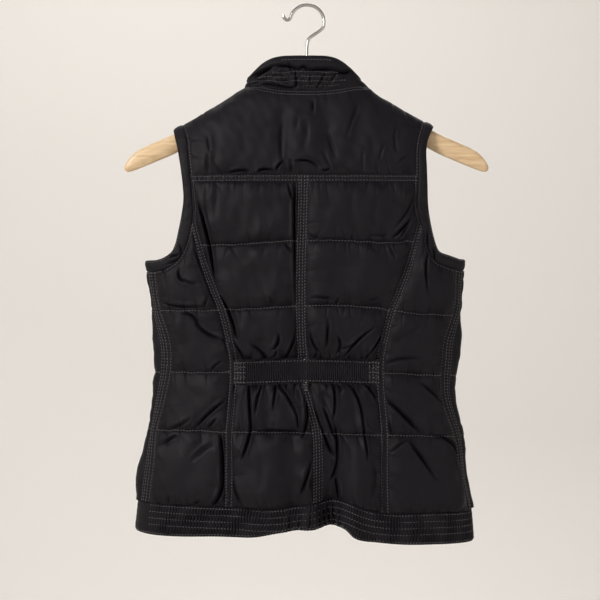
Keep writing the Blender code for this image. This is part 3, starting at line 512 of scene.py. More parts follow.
def way_along(x, drop, crease):
    """Distance of each point from a crease's line, and its place on that line from 0 to 1."""
    x1, d1, x2, d2, x3, d3 = crease
    steps = np.linspace(0, 1, CREASE_STEPS + 1)
    bend_x = 2 * x2 - (x1 + x3) / 2
    bend_d = 2 * d2 - (d1 + d3) / 2
    line_x = (1 - steps) ** 2 * x1 + 2 * steps * (1 - steps) * bend_x + steps ** 2 * x3
    line_d = (1 - steps) ** 2 * d1 + 2 * steps * (1 - steps) * bend_d + steps ** 2 * d3
    best = np.full(x.shape, np.inf)
    place = np.zeros(x.shape)
    for step in range(CREASE_STEPS):
        ax, ad = line_x[step], line_d[step]
        bx, bd = line_x[step + 1] - ax, line_d[step + 1] - ad
        along = np.clip(((x - ax) * bx + (drop - ad) * bd) / (bx * bx + bd * bd), 0, 1)
        away = np.hypot(x - ax - bx * along, drop - ad - bd * along)
        closer = away < best
        best = np.where(closer, away, best)
        place = np.where(closer, (step + along) / CREASE_STEPS, place)
    return best, place


def crease_relief(x, drop, creases):
    """Height of the creases, each a narrow cleft between two swells, and the shade painted into
    the cloth's colour in them, from 0 to 1."""
    total, painted_shade = np.zeros(np.shape(x)), np.zeros(np.shape(x))
    for *crease, half, depth in creases:
        reach = CREASE_REACH * half
        near = (x > min(crease[::2]) - reach) & (x < max(crease[::2]) + reach)
        near &= (drop > min(crease[1::2]) - reach) & (drop < max(crease[1::2]) + reach)
        if not near.any():
            continue
        away, place = way_along(x[near], drop[near], crease)
        fade = np.sin(np.pi * np.clip(place, 0.02, 0.98)) ** CREASE_FADE
        lips = CREASE_LIP * np.exp(-((away / half - LIP_AT) / LIP_HALF) ** 2)
        total[near] += depth * fade * (-np.exp(-(away / half) ** 2) + lips)
        # Narrow creases get painted shade in their cores.
        if half < SOFT_CREASE:
            core = np.exp(-(away / (CREASE_CORE * half)) ** 2) * fade * min(1.0, depth / DARK_DEPTH)
            painted_shade[near] = np.maximum(painted_shade[near], core)
    return total, painted_shade


def crowded(count, pull=0.055):
    """Shares from 0 to 1, closer together near both ends."""
    even = np.linspace(0, 1, count)
    return even - pull * np.sin(2 * math.pi * even)


HALVINGS = 34


def solve_drop(line, angle_of):
    """Drop at which each column of a panel meets a line that runs across the vest."""
    low, high = float(FIRST_DROP), float(LAST_DROP)
    for _ in range(HALVINGS):
        drop = (low + high) / 2
        above = drop < line(x_at(angle_of(drop), drop))
        low = np.where(above, drop, low)
        high = np.where(above, high, drop)
    return (low + high) / 2


def run_length(points, axis):
    """Distance of each point from the start of its row or column, along the cloth."""
    steps = np.linalg.norm(np.diff(points, axis=axis), axis=-1)
    pad = [(0, 0), (0, 0)]
    pad[axis] = (1, 0)
    return np.pad(np.cumsum(steps, axis=axis), pad)


def lay_out(edge_a, edge_b, lines, shares, counts, face):
    """Places of a panel's points: rows run from line to line, columns from edge to edge."""
    shares = np.asarray(shares)[None, :]

    def angle_of(drop):
        start = edge_a(drop)
        return start + (edge_b(drop) - start) * shares

    levels = [solve_drop(line, angle_of) for line in lines]
    drops, ups, downs, starts = [], [], [], [0]
    for number, (upper, lower, count) in enumerate(zip(levels, levels[1:], counts)):
        between = crowded(count)[:, None]
        between = between if number == len(counts) - 1 else between[:-1]
        drops.append(upper + (lower - upper) * between)
        ups.append((lower - upper) * between)
        downs.append((lower - upper) * (1 - between))
        starts.append(starts[-1] + count - 1)
    drop = np.concatenate(drops)
    angle = angle_of(drop)
    plain = plain_form(angle, drop)
    from_a = run_length(plain, 1)
    from_top = run_length(plain, 0)
    return SimpleNamespace(
        drop=drop, x=plain[..., 0], face=face, quilt_rows=starts, painted_shade=None,
        from_a=from_a, from_b=from_a[:, -1:] - from_a,
        from_top=from_top, from_foot=from_top[-1:] - from_top,
        up=np.concatenate(ups), down=np.concatenate(downs),
        inner=inner_form(angle, drop), out=outward(angle, drop),
    )


def puff(distance, flat, reach):
    """Quarter round swell of the padding beside a seam."""
    share = np.clip((distance - flat) / reach, 0, 1)
    return np.sqrt(1 - (1 - share) ** 2)


def face_normals(points, out):
    across = np.gradient(points, axis=1)
    down = np.gradient(points, axis=0)
    facing = np.cross(across, down)
    facing /= np.linalg.norm(facing, axis=-1, keepdims=True) + 1e-12
    return facing * np.where((facing * out).sum(-1, keepdims=True) < 0, -1, 1)


def finish_mesh(name, bm, material, smooth=180):
    """The object of a finished shape.  Edges over the angle smooth, in degrees, stay sharp."""
    bmesh.ops.recalc_face_normals(bm, faces=bm.faces)
    mesh = bpy.data.meshes.new(name)
    bm.to_mesh(mesh)
    bm.free()
    mesh.materials.append(material)
    mesh.shade_smooth()
    if smooth < 180:
        mesh.set_sharp_from_angle(angle=math.radians(smooth))
    made = bpy.data.objects.new(name, mesh)
    scene.collection.objects.link(made)
    return made


INNER_COARSE = 2


def cloth_wall(name, inside, outside, cut, material, painted_shade=None):
    """Closed wall of cloth between two grids of points in millimetres, whose UV map is the cut
    of its outer face in metres.  The inner face has fewer points.  The last argument, if given,
    is the shade painted into the outer face's colour in its creases, from 0 to 1."""
    rows, columns = inside.shape[:2]
    bm = bmesh.new()
    bmesh.ops.create_grid(bm, x_segments=columns - 1, y_segments=rows - 1, size=0.5)
    bmesh.ops.translate(bm, vec=(0, 0, 1), verts=bm.verts)
    bmesh.ops.create_grid(bm, x_segments=(columns - 1) // INNER_COARSE,
                          y_segments=(rows - 1) // INNER_COARSE, size=0.5)
    bmesh.ops.bridge_loops(bm, edges=[edge for edge in bm.edges if edge.is_boundary])
    flat = bpy.data.meshes.new(name + "_flat")
    bm.to_mesh(flat)
    bm.free()
    places = np.empty(len(flat.vertices) * 3)
    flat.vertices.foreach_get("co", places)
    places = places.reshape(-1, 3)
    column = np.rint((places[:, 0] + 0.5) * (columns - 1)).astype(int)
    row = np.rint((places[:, 1] + 0.5) * (rows - 1)).astype(int)
    outer_layer = places[:, 2:] > 0.5
    points = np.where(outer_layer, outside[row, column], inside[row, column]) * MM
    flat.vertices.foreach_set("co", points.ravel())
    corner = np.empty(len(flat.loops), dtype=np.int64)
    flat.loops.foreach_get("vertex_index", corner)
    flat.uv_layers.new(name="cut")
    spread = np.stack([cut[0][row, column], cut[1][row, column]], axis=-1) * MM
    flat.uv_layers["cut"].data.foreach_set("uv", spread[corner].ravel())
    if painted_shade is not None:
        painted_shade_level = np.where(outer_layer[:, 0], painted_shade[row, column], 0).astype(np.float32)
        flat.attributes.new("painted_shade", "FLOAT", "POINT").data.foreach_set("value", painted_shade_level)
    bm = bmesh.new()
    bm.from_mesh(flat)
    bpy.data.meshes.remove(flat)
    return finish_mesh(name, bm, material)


def set_inputs(tree, node, inputs):
    """Feeds an input of a node that is given a socket, and sets any other to its constant."""
    for name, value in inputs.items():
        if isinstance(value, bpy.types.NodeSocket):
            tree.links.new(value, node.inputs[name])
        else:
            node.inputs[name].default_value = value


def add_node(tree, kind, output, inputs, **settings):
    """The named output of a new node of a material, with its settings and inputs."""
    node = tree.nodes.new("ShaderNode" + kind)
    for name, value in settings.items():
        setattr(node, name, value)
    set_inputs(tree, node, inputs)
    return node.outputs[output]


NYLON_DARK = (0.0069, 0.0056, 0.0079, 1)
NYLON_LIGHT = (0.0109, 0.0089, 0.0124, 1)
# Colour of the shade painted into creases and tucks.
NYLON_PAINTED_SHADE = (0.0008, 0.0007, 0.0009, 1)
NYLON_SHEEN = (0.9, 0.88, 0.92, 1)
NYLON_SPECULAR = 0.15
WEAVE_SCALE = 640
WEAVE_DEPTH = 0.00012
CRINKLE_DEPTH = 0.0006


def black_nylon():
    """Fine weave on the cut, short soft crinkles, faint worn patches, and painted shade in the
    clefts: a darker colour and no specular reflection there.
    """
    made, tree, shader = plain_material("black nylon", NYLON_DARK[:3], 0.6)
    place = tree.nodes.new("ShaderNodeTexCoord").outputs
    patches = add_node(tree, "TexNoise", "Fac", {"Vector": place["Object"], "Scale": 22, "Detail": 4})
    tint = add_node(tree, "Mix", "Result", {"Factor": patches, "A": NYLON_DARK, "B": NYLON_LIGHT},
                    data_type="RGBA")
    # Painted shade: where the mesh asks for it, the colour goes almost black and the specular reflection
    # falls to nought.
    painted_shade_level = add_node(tree, "Attribute", "Fac", {}, attribute_name="painted_shade")
    shade = add_node(tree, "Mix", "Result", {"Factor": painted_shade_level, "A": tint, "B": NYLON_PAINTED_SHADE}, data_type="RGBA")
    painted_shade_specular = add_node(tree, "MapRange", "Result", {"Value": painted_shade_level, "To Min": NYLON_SPECULAR, "To Max": 0.0})
    worn = add_node(tree, "MapRange", "Result", {"Value": patches, "From Min": 0.3, "From Max": 0.7,
                                                 "To Min": 0.5, "To Max": 0.62})
    warp, weft = (add_node(tree, "TexWave", "Fac",
                           {"Vector": place["UV"], "Scale": WEAVE_SCALE, "Distortion": 0.6},
                           bands_direction=direction) for direction in ("X", "Y"))
    weave = add_node(tree, "Math", "Value", {0: warp, 1: weft}, operation="MULTIPLY")
    crinkles = add_node(tree, "TexNoise", "Fac", {"Vector": place["Object"], "Scale": 70, "Detail": 5,
                                                  "Roughness": 0.55, "Distortion": 0.9})
    soft = add_node(tree, "Bump", "Normal", {"Height": crinkles, "Strength": 0.4, "Distance": CRINKLE_DEPTH})
    fine = add_node(tree, "Bump", "Normal", {"Height": weave, "Normal": soft, "Strength": 0.25,
                                             "Distance": WEAVE_DEPTH})
    set_inputs(tree, shader, {"Base Color": shade, "Specular IOR Level": painted_shade_specular, "Roughness": worn,
                              "Normal": fine, "Sheen Weight": 0.015, "Sheen Roughness": 0.45,
                              "Sheen Tint": NYLON_SHEEN})
    return made


nylon = black_nylon()
thread, _, _ = plain_material("grey thread", (0.15, 0.142, 0.147), 0.8)

# The wall of padded cloth: its thickness where it is flat, the reach of the swells beside seams
# and quilted rows, and the stitches' dents.
FLAT_WALL = 2.2
LEAST_WALL = 0.9
PUFF_REACH = 24.0
QUILT_REACH = 17.0
UPPER_QUILT_REACH = 22.1
SWELL_WAVE = 46
CRINKLE_WAVE = 19
EDGE_WAVE = 23
STITCH_SINK = 0.5
STITCH_SINK_HALF = 0.9
ROW_FLAT = 0.9
ROW_LIFT = 0.3
DEEPEST = 4.2
CALM_REACH = 34.0
FREE_REACH = 1.6
# Tucks run out from the rows and seams, and gathers from a panel's top and foot.  Their waves
# are drawn out along the tuck by the share TUCK_LONG or GATHER_LONG.
TUCK_DEPTH = 2.3
TUCK_REACH = 7.0
TUCK_NARROW = 0.22
TUCK_WAVE = 24
SIDE_TUCK_SHARE = 0.8
SIDE_TUCK_WAVE = 26
TUCK_LONG = 0.3
GATHER_REACH = 8.0
GATHER_WAVE = 15
GATHER_LONG = 0.15
PUCKER = 0.4
PUCKER_WAVE = 4.4


def ease(value):
    value = np.clip(value, 0, 1)
    return value * value * (3 - 2 * value)


def tucks(x, z, wave, seed):
    """Narrow uneven tucks, from 0 to 1 deep, about half a wavelength apart."""
    return np.exp(-(ripple(x, z, wave, seed) / TUCK_NARROW) ** 2)


def nearness(distance, reach):
    """From 1 at a seam down to nought, away from it."""
    return np.exp(-np.maximum(distance, 0) / reach)


# Lines of stitches, each its points and the way the cloth faces there, until sew() makes them.
seams = []


def dress_panel(panel, rise, strips, stitches, seed, quilt_stitches=True, crinkle=0.35, calm=0.0,
                gathers=(0.0, 0.0)):
    """Raises a panel's outer face: swells between the rows of quilting, tucks beside them,
    creases, and a dent under every row of stitches.  Strips are the widths of the flat strips
    along edges a and b, the top and the foot.  Where calm is over nought, the rows pinch less
    beside edge a, which is a side seam.  Gathers are how deep the close tucks at the top and
    foot are."""
    strip_a, strip_b, strip_top, strip_foot = strips
    x, drop = panel.x, panel.drop
    past_a, past_b = panel.from_a - strip_a, panel.from_b - strip_b
    past_top, past_foot = panel.from_top - strip_top, panel.from_foot - strip_foot
    row = np.arange(x.shape[0])[:, None] + 0 * x
    up_flat = np.where(row <= panel.quilt_rows[1], strip_top, ROW_FLAT)
    down_flat = np.where(row >= panel.quilt_rows[-2], strip_foot, ROW_FLAT)

    edge = 1 + 0.3 * ripple(x, drop, EDGE_WAVE, seed + 2)
    fill = puff(panel.from_a, strip_a, PUFF_REACH * edge) * puff(panel.from_b, strip_b, PUFF_REACH * edge)
    pinched = puff(panel.up, up_flat, UPPER_QUILT_REACH * edge)
    pinched = pinched * puff(panel.down, down_flat, QUILT_REACH * edge)
    hold = 1 - calm * np.exp(-(panel.from_a / CALM_REACH) ** 2)
    fill = fill * (1 - hold * (1 - pinched))
    thick = FLAT_WALL + rise * fill * (0.9 + 0.16 * ripple(x, drop, SWELL_WAVE, seed))
    thick = thick + crinkle * ripple(x, drop, CRINKLE_WAVE, seed + 1) * np.sqrt(fill)

    at_rows = nearness(panel.down - down_flat, TUCK_REACH) + nearness(panel.up - up_flat, TUCK_REACH)
    at_sides = nearness(past_a, TUCK_REACH) + nearness(past_b, TUCK_REACH)
    row_tucks = tucks(x, drop * TUCK_LONG, TUCK_WAVE, seed + 3) * np.clip(at_rows, 0, 1) * np.sqrt(fill)
    side_tucks = tucks(x * TUCK_LONG, drop, SIDE_TUCK_WAVE, seed + 4)
    side_tucks = side_tucks * np.clip(at_sides, 0, 1) * np.sqrt(fill)
    all_tucks = [(TUCK_DEPTH, row_tucks), (SIDE_TUCK_SHARE * TUCK_DEPTH, side_tucks)]
    for depth, past, tuck_seed in ((gathers[0], past_top, seed + 7), (gathers[1], past_foot, seed + 8)):
        fade = nearness(past, GATHER_REACH) * ease(past / 1.2)
        all_tucks.append((depth, fade * tucks(x, drop * GATHER_LONG, GATHER_WAVE, tuck_seed)))
    # Painted shade in the tucks and gathers, as deep as they are, and then in the creases.
    painted_shade = np.zeros(x.shape)
    for depth, tucked in all_tucks:
        thick = thick - depth * tucked
        painted_shade = np.maximum(painted_shade, tucked * min(1.0, depth / DARK_DEPTH))

    free = ease(past_a / FREE_REACH) * ease(past_b / FREE_REACH)
    free = free * ease(past_top / FREE_REACH) * ease(past_foot / FREE_REACH)
    relief, dark = crease_relief(x, drop, CREASES if panel.face == "back" else front_creases())
    thick = thick + relief * free
    panel.painted_shade = np.maximum(painted_shade, dark * free)
    for side, distance, *_ in stitches:
        away = (getattr(panel, "from_" + side) - distance) / STITCH_SINK_HALF
        thick = thick - STITCH_SINK * np.exp(-away ** 2)
    on_side = ease((1 - past_a) / 2) + ease((1 - past_b) / 2)
    thick = thick + PUCKER * ripple(x * TUCK_LONG, drop, PUCKER_WAVE, seed + 5) * on_side
    on_top = ease((1 - past_top) / 2) * (1 - np.minimum(on_side, 1))
    thick = thick + PUCKER * ripple(x, drop * TUCK_LONG, PUCKER_WAVE, seed + 6) * on_top

    # Where the outer face comes too close, the inner one gives way, and so do its neighbours.
    thick = np.maximum(thick, -DEEPEST)
    sunk = np.minimum(thick - LEAST_WALL, 0)
    for axis in (0, 1, 0, 1):
        sunk = np.minimum(sunk, np.minimum(np.roll(sunk, 1, axis), np.roll(sunk, -1, axis)))
    panel.outer = panel.inner + panel.out * thick[..., None]
    panel.inner = panel.inner + panel.out * sunk[..., None]
    panel.normals = face_normals(panel.outer, panel.out)
    keep_stitches(panel, stitches)
    if quilt_stitches:
        filled = (past_a > -1.5) & (past_b > -1.5)
        for index in panel.quilt_rows[1:-1]:
            held, out = filled[index], panel.out[index]
            seams.append((panel.outer[index][held] + ROW_LIFT * out[held], out[held]))


EVEN_REACH = 3.6
EVEN_FACINGS = 3


def running_mean(line, half):
    """Each point's mean with as many neighbours as half on both sides."""
    if half < 1 or len(line) < 4 * half:
        return line
    wide = np.pad(line, ((half, half), (0, 0)), mode="edge")
    total = np.cumsum(np.pad(wide, ((1, 0), (0, 0))), axis=0)
    return (total[2 * half + 1:] - total[:-2 * half - 1]) / (2 * half + 1)


def evened(line, facings):
    """A line of stitches without its small waves: thread spans the gathers that it holds."""
    step = np.linalg.norm(np.diff(line, axis=0), axis=1).mean()
    half = int(EVEN_REACH / max(step, 0.05) / 2)
    return running_mean(line, half), running_mean(facings, EVEN_FACINGS)


TO_END = 999


def keep_stitches(panel, stitches):
    """Keeps lines of stitches that run at a distance from one edge of a panel.  A line may have
    limits, measured from its start or, below nought, back from its end."""
    for side, distance, *limits in stitches:
        away = getattr(panel, "from_" + side)
        points, facings = panel.outer, panel.normals
        if side in ("top", "foot"):
            away, points, facings = away.T, points.transpose(1, 0, 2), facings.transpose(1, 0, 2)
        if away[0, 0] > away[0, -1]:
            away, points, facings = away[:, ::-1], points[:, ::-1], facings[:, ::-1]
        line, faces = [], []
        for reach, row, facing in zip(away, points, facings):
            if reach[-1] > distance + 0.5:
                line.append([np.interp(distance, reach, row[:, axis]) for axis in range(3)])
                faces.append([np.interp(distance, reach, facing[:, axis]) for axis in range(3)])
        if len(line) < 3:
            continue
        line, faces = evened(np.array(line), np.array(faces))
        if limits:
            place = np.pad(np.cumsum(np.linalg.norm(np.diff(line, axis=0), axis=1)), (1, 0))
            start, stop = (limit + place[-1] * (limit < 0) for limit in limits)
            line, faces = (item[(place >= start) & (place <= stop)] for item in (line, faces))
        seams.append((line, faces))


STITCH_PITCH = 3.6
STITCH_LONG = 2.0
STITCH_WIDE = 0.75
STITCH_TOP_LONG = 0.72
STITCH_TOP_WIDE = 0.62
STITCH_LIFT = 0.1
STITCH_STRAY = 0.1


def one_stitch():
    """Corners and faces of a single stitch: a short bar with a smaller top."""
    bm = bmesh.new()
    bmesh.ops.create_cube(bm, size=1.0)
    bm.verts.index_update()
    corners = np.array([vert.co for vert in bm.verts]) * (STITCH_LONG, STITCH_WIDE, STITCH_WIDE)
    faces = np.array([[vert.index for vert in face.verts] for face in bm.faces])
    bm.free()
    top = (STITCH_TOP_LONG, STITCH_TOP_WIDE, STITCH_TOP_WIDE)
    return corners * np.where(corners[:, 2:] > 0, top, 1.0), faces


def sew(name):
    """One mesh of all the stitches whose lines have been kept, set down along those lines."""
    corners, faces = one_stitch()
    draw = np.random.default_rng(len(seams))
    spots, runs, rises = [], [], []
    for line, facing in seams:
        reach = np.concatenate([[0], np.cumsum(np.linalg.norm(np.diff(line, axis=0), axis=1))])
        count = int(reach[-1] / STITCH_PITCH)
        if count < 1:
            continue
        centre = (np.arange(count) + draw.uniform(0.3, 0.7)) * reach[-1] / count
        half = STITCH_LONG * 0.45
        ahead, behind = (np.stack([np.interp(at, reach, line[:, axis]) for axis in range(3)], -1)
                         for at in (centre + half, centre - half))
        spots.append((ahead + behind) / 2)
        runs.append(ahead - behind)
        rises.append(np.stack([np.interp(centre, reach, facing[:, axis]) for axis in range(3)], -1))
    seams.clear()
    spot, run, rise = (np.concatenate(item) for item in (spots, runs, rises))
    run /= np.linalg.norm(run, axis=1, keepdims=True) + 1e-9
    rise -= run * (rise * run).sum(1, keepdims=True)
    rise /= np.linalg.norm(rise, axis=1, keepdims=True) + 1e-9
    side = np.cross(rise, run)
    spot = spot + rise * STITCH_LIFT + side * draw.normal(0, STITCH_STRAY, (len(spot), 1))
    placed = spot[:, None]
    for axis, along in enumerate((run, side, rise)):
        placed = placed + corners[None, :, axis:axis + 1] * along[:, None]
    numbers = (faces[None] + (np.arange(len(spot)) * len(corners))[:, None, None]).reshape(-1, 4)
    mesh = bpy.data.meshes.new(name)
    mesh.from_pydata((placed.reshape(-1, 3) * MM).tolist(), [], numbers.tolist())
    mesh.materials.append(thread)
    mesh.shade_smooth()
    made = bpy.data.objects.new(name, mesh)
    scene.collection.objects.link(made)
    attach(made, "vest")


def cut_panel(node, panel):
    """The finished cloth piece of a panel, which stands for its CAD node."""
    piece = cloth_wall("cloth_" + node, panel.inner, panel.outer, (panel.from_a, panel.from_top), nylon,
                       panel.painted_shade)
    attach(piece, "vest")
    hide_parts(node)


ARMHOLE_STEP = 0.05


def armhole_curves(side):
    """The four columns of an armhole's table as fine curves, from the shoulder to the underarm."""
    table = ARMHOLES[side]
    at = np.arange(0, len(table) - 1 + 1e-9, ARMHOLE_STEP)
    return [smoothed(list(enumerate(column)), at) for column in zip(*table)]


armhole_curve = {side: armhole_curves(side) for side, _ in SIDES}


def scoop(side, drop):
    """How much further in the front is cut at its armhole."""
    start, stop = ARMHOLES[side][0][1], ARMHOLES[side][-1][1]
    share = np.clip((drop - start) / (stop - start), 0, 1)
    return FRONT_SCOOP * np.sin(np.pi * share) ** 1.5


def armhole_seam(side, face, drop):
    _, _, seam_out, seam_drop = armhole_curve[side]
    out = np.interp(drop, seam_drop, seam_out)
    return out - scoop(side, drop) if face == "front" else out


def armhole_edge(side, face, drop):
    edge_out, edge_drop, _, seam_drop = armhole_curve[side]
    out = np.interp(drop, seam_drop, edge_out)
    out = out - scoop(side, drop) if face == "front" else out
    return out, np.interp(drop, seam_drop, edge_drop)


def seam_edge(side, face):
    """Outer edge of a middle panel: the armhole's seam and, below it, the princess seam."""
    def edge(drop):
        out = np.minimum(armhole_seam(side, face, drop), princess_out(drop) - HALF_GAP)
        return angle_at(side * out, drop, face)
    return edge


def shoulder_line(neck):
    def line(x):
        out = np.abs(x)
        return np.where(out < NECK_OUT, neck(out), ridge_drop(x))
    return line


def level(drop):
    return lambda x: drop + 0 * x


YOKE_RISE = 3.4
YOKE_CRINKLE = 0.3
NECK_STITCHES = (1.8, 6.2)
yoke = lay_out(seam_edge(-1, "back"), seam_edge(1, "back"),
               (shoulder_line(back_neck), level(YOKE_DROP - HALF_GAP)), crowded(241), (105,), "back")
dress_panel(yoke, YOKE_RISE, (3.4, 3.4, 1.0, 1.0), (("a", 1.5), ("b", 1.5)), 11, quilt_stitches=False,
            crinkle=YOKE_CRINKLE)
at_neck = np.flatnonzero(np.abs(yoke.x[0]) < NECK_OUT - 2)
for distance in NECK_STITCHES:
    nearest = np.abs(yoke.from_top[:, at_neck] - distance).argmin(axis=0)
    seams.append(evened(yoke.outer[nearest, at_neck], yoke.normals[nearest, at_neck]))
cut_panel("back_yoke", yoke)

# ---------------------------------------------------------------------------------------------
# Middle panels of the back: two above the waistband, in three quilted rows, and two below it,
# in two rows, gathered where they meet the elastic.  Flat topstitched strips join all of them.
CENTRE_BACK = (
    (190, -4),
    (430, -4),
    (451, -2),
    (477, 5),
    (503, 11.5),
    (530, 13),
    (560, 13),
    (640, 11),
)
QUILT_ROW_1 = ((-200, 289), (-112, 288), (-75, 287), (-18, 283), (2, 282.5), (57, 283.5), (96, 285.5),
               (121, 283.5), (140, 285.5), (200, 286))
QUILT_ROW_2 = ((-205, 365), (-167, 364.5), (-106, 364), (-50, 361.5), (-16, 359), (2, 358.5), (54, 359),
               (96, 363.5), (125, 368), (170, 369.5), (205, 370))
QUILT_ROW_3 = ((-205, 437.5), (-154, 437.5), (-91, 437), (88, 437.5), (158, 441), (205, 442))
QUILT_ROW_4 = ((-205, 506), (-176, 506), (-143, 505), (-96, 506), (-60, 505.5), (-20, 506), (45, 508),
               (98, 509.5), (135, 511), (179, 513), (205, 514))
WAIST_TOP = ((-95, 424.5), (0, 421.5), (95, 424))
WAIST_BOTTOM = ((-95, 451), (0, 448.5), (95, 450.5))
HEM_TOP = ((-210, 590), (-70, 591.5), (-31, 592.5), (0, 589), (12, 587), (34, 585), (46, 585.5), (60, 590),
           (75, 595.5), (95, 598.5), (140, 599.5), (205, 602))
MIDDLE_RISE = 7.2
ROW_WAVE = 0.55
ROW_WAVE_LONG = 15
# Flat strips along edges a and b, the top and the foot, and the rows of stitches on them.  The
# strip beside the middle seam narrows under the waistband.
UPPER_STRIPS = (5.8, 3.4, 7.4, 0.8)
UPPER_STITCHES = (("a", 1.6), ("a", 4.6), ("b", 2.9), ("top", 1.1), ("top", 5.9))
LOWER_STRIPS = (5.8, 3.4, 0.8, 0.8)
LOWER_STITCHES = (("a", 1.6), ("a", 4.6, 44, TO_END), ("b", 2.9))
STRIP_NARROWS = 3.4
NARROWEST_DROP = 482
NARROW_HALF = 24

centre_back_x = curve(CENTRE_BACK, 190, 650)


def wavy(line, seed):
    """A sewn row is never straight: the padding pushes it up and down a little."""
    return lambda x: line(x) + ROW_WAVE * ripple(x, 0 * x, ROW_WAVE_LONG, seed)


quilt_rows = [wavy(curve(rows, -215, 215), 21 + number)
              for number, rows in enumerate((QUILT_ROW_1, QUILT_ROW_2, QUILT_ROW_3, QUILT_ROW_4))]
waist_top = curve(WAIST_TOP, -215, 215)
waist_bottom = curve(WAIST_BOTTOM, -215, 215)
hem_top = curve(HEM_TOP, -215, 215)


def shifted(line, by):
    return lambda x: line(x) + by


def centre_edge(side, gap=HALF_GAP):
    return lambda drop: angle_at(centre_back_x(drop) + side * gap, drop, "back")


for side, word in SIDES:
    edges = (centre_edge(side), seam_edge(side, "back"))
    lines = (level(YOKE_DROP + HALF_GAP), quilt_rows[0], quilt_rows[1], shifted(waist_top, -HALF_GAP))
    upper = lay_out(*edges, lines, crowded(151), (65, 61, 53), "back")
    dress_panel(upper, MIDDLE_RISE, UPPER_STRIPS, UPPER_STITCHES, 31 + side, gathers=(1.0, 3.2))
    cut_panel("back_upper_" + word, upper)
    lines = (shifted(waist_bottom, HALF_GAP), quilt_rows[3], shifted(hem_top, -HALF_GAP))
    lower = lay_out(*edges, lines, crowded(131), (59, 73), "back")
    narrow = STRIP_NARROWS * np.exp(-((lower.drop - NARROWEST_DROP) / NARROW_HALF) ** 2)
    dress_panel(lower, MIDDLE_RISE, (LOWER_STRIPS[0] - narrow, *LOWER_STRIPS[1:]), LOWER_STITCHES,
                41 + side, gathers=(3.4, 1.2))
    cut_panel("back_lower_" + word, lower)

# ---------------------------------------------------------------------------------------------
# Side panels of the back.  They run from the armhole's underarm to the hem between the princess
# seam and the side seam, which is a wide strip of several rows of stitches.
SIDE_SEAM_COLUMNS = ("drop", "inset of left", "inset of right")
SIDE_SEAM = ((300, 2.5, 2), (326, 1.2, 1), (366, 1.0, 1.2), (405, 7, 7.5), (430, 7.5, 7), (470, 3.5, 4.5),
             (512, 1.2, 2), (556, 6.5, 0.8), (584, 6, 0.6), (640, 8, 0.6))
UNDERARM_DROP = 258.0
SIDE_RISE = 6.4
SIDE_STRIPS = (12.2, 4.6, 2.6, 0.8)
SIDE_STITCHES = (("a", 1.5), ("a", 5.6), ("a", 10.6), ("b", 0.7, 0, 148), ("b", 3.6), ("top", 1.4))

side_seam_inset = {
    side: column_curve(SIDE_SEAM, SIDE_SEAM_COLUMNS, "inset of " + word, FIRST_DROP, LAST_DROP)
    for side, word in SIDES}


def side_seam_edge(side, face):
    """Edge of a panel at the side seam, which lies a little in from the vest's outline."""
    gap = SIDE_SEAM_ANGLE if face == "front" else -SIDE_SEAM_ANGLE

    def edge(drop):
        reach = reach_left(drop) if side < 0 else reach_right(drop)
        return angle_at(reach - side * side_seam_inset[side](drop), drop, "back") + side * gap
    return edge


def princess_edge(side, face):
    return lambda drop: angle_at(side * (princess_out(drop) + HALF_GAP), drop, face)


def armhole_line(side, face):
    """Top of a side panel: the armhole's seam, from under the arm to the side seam."""
    drops = np.linspace(UNDERARM_DROP, ARMHOLES[side][-1][3], 140)
    outs = np.maximum.accumulate(armhole_seam(side, face, drops))
    return lambda x: np.interp(np.abs(x), outs, drops)


for side, word in SIDES:
    edges = (side_seam_edge(side, "back"), princess_edge(side, "back"))
    lines = (armhole_line(side, "back"), *quilt_rows[1:], shifted(hem_top, -HALF_GAP))
    panel = lay_out(*edges, lines, crowded(121), (49, 51, 49, 55), "back")
    dress_panel(panel, SIDE_RISE, SIDE_STRIPS, SIDE_STITCHES, 51 + side, calm=0.55, gathers=(0.0, 1.2))
    cut_panel("back_side_" + word, panel)

# ---------------------------------------------------------------------------------------------
# Waistband: a strip of the same nylon, shirred over a flat elastic by five rows of stitches.  It
# lies between the princess seams and is sewn to the panels above and below it.
RIB_PITCH = 2.47
RIB_RISE = 1.9
ELASTIC_ROWS = (1.5, 7.4, 13.2, 19.0, 25.0)
SHORT_ROWS = ((0, 15), (-14, TO_END))
END_ROWS = (1.5, 4.4, 8.0, 12.0)
# Gathers shift from row to row, drift along the band, and are pressed flat at its rows.
SHIRR_SHIFT = 2.4
SHIRR_DRIFT = 1.5
SHIRR_UNEVEN = 0.7
SHIRR_ROUND = 0.8
SHIRR_LOW = 0.6
ROW_PRESS = 0.75
ROW_PRESS_HALF = 1.2
BAND_WALL = FLAT_WALL + 0.3
waist = lay_out(seam_edge(-1, "back"), seam_edge(1, "back"),
                (shifted(waist_top, HALF_GAP), shifted(waist_bottom, -HALF_GAP)),
                np.linspace(0, 1, 641), (27,), "back")


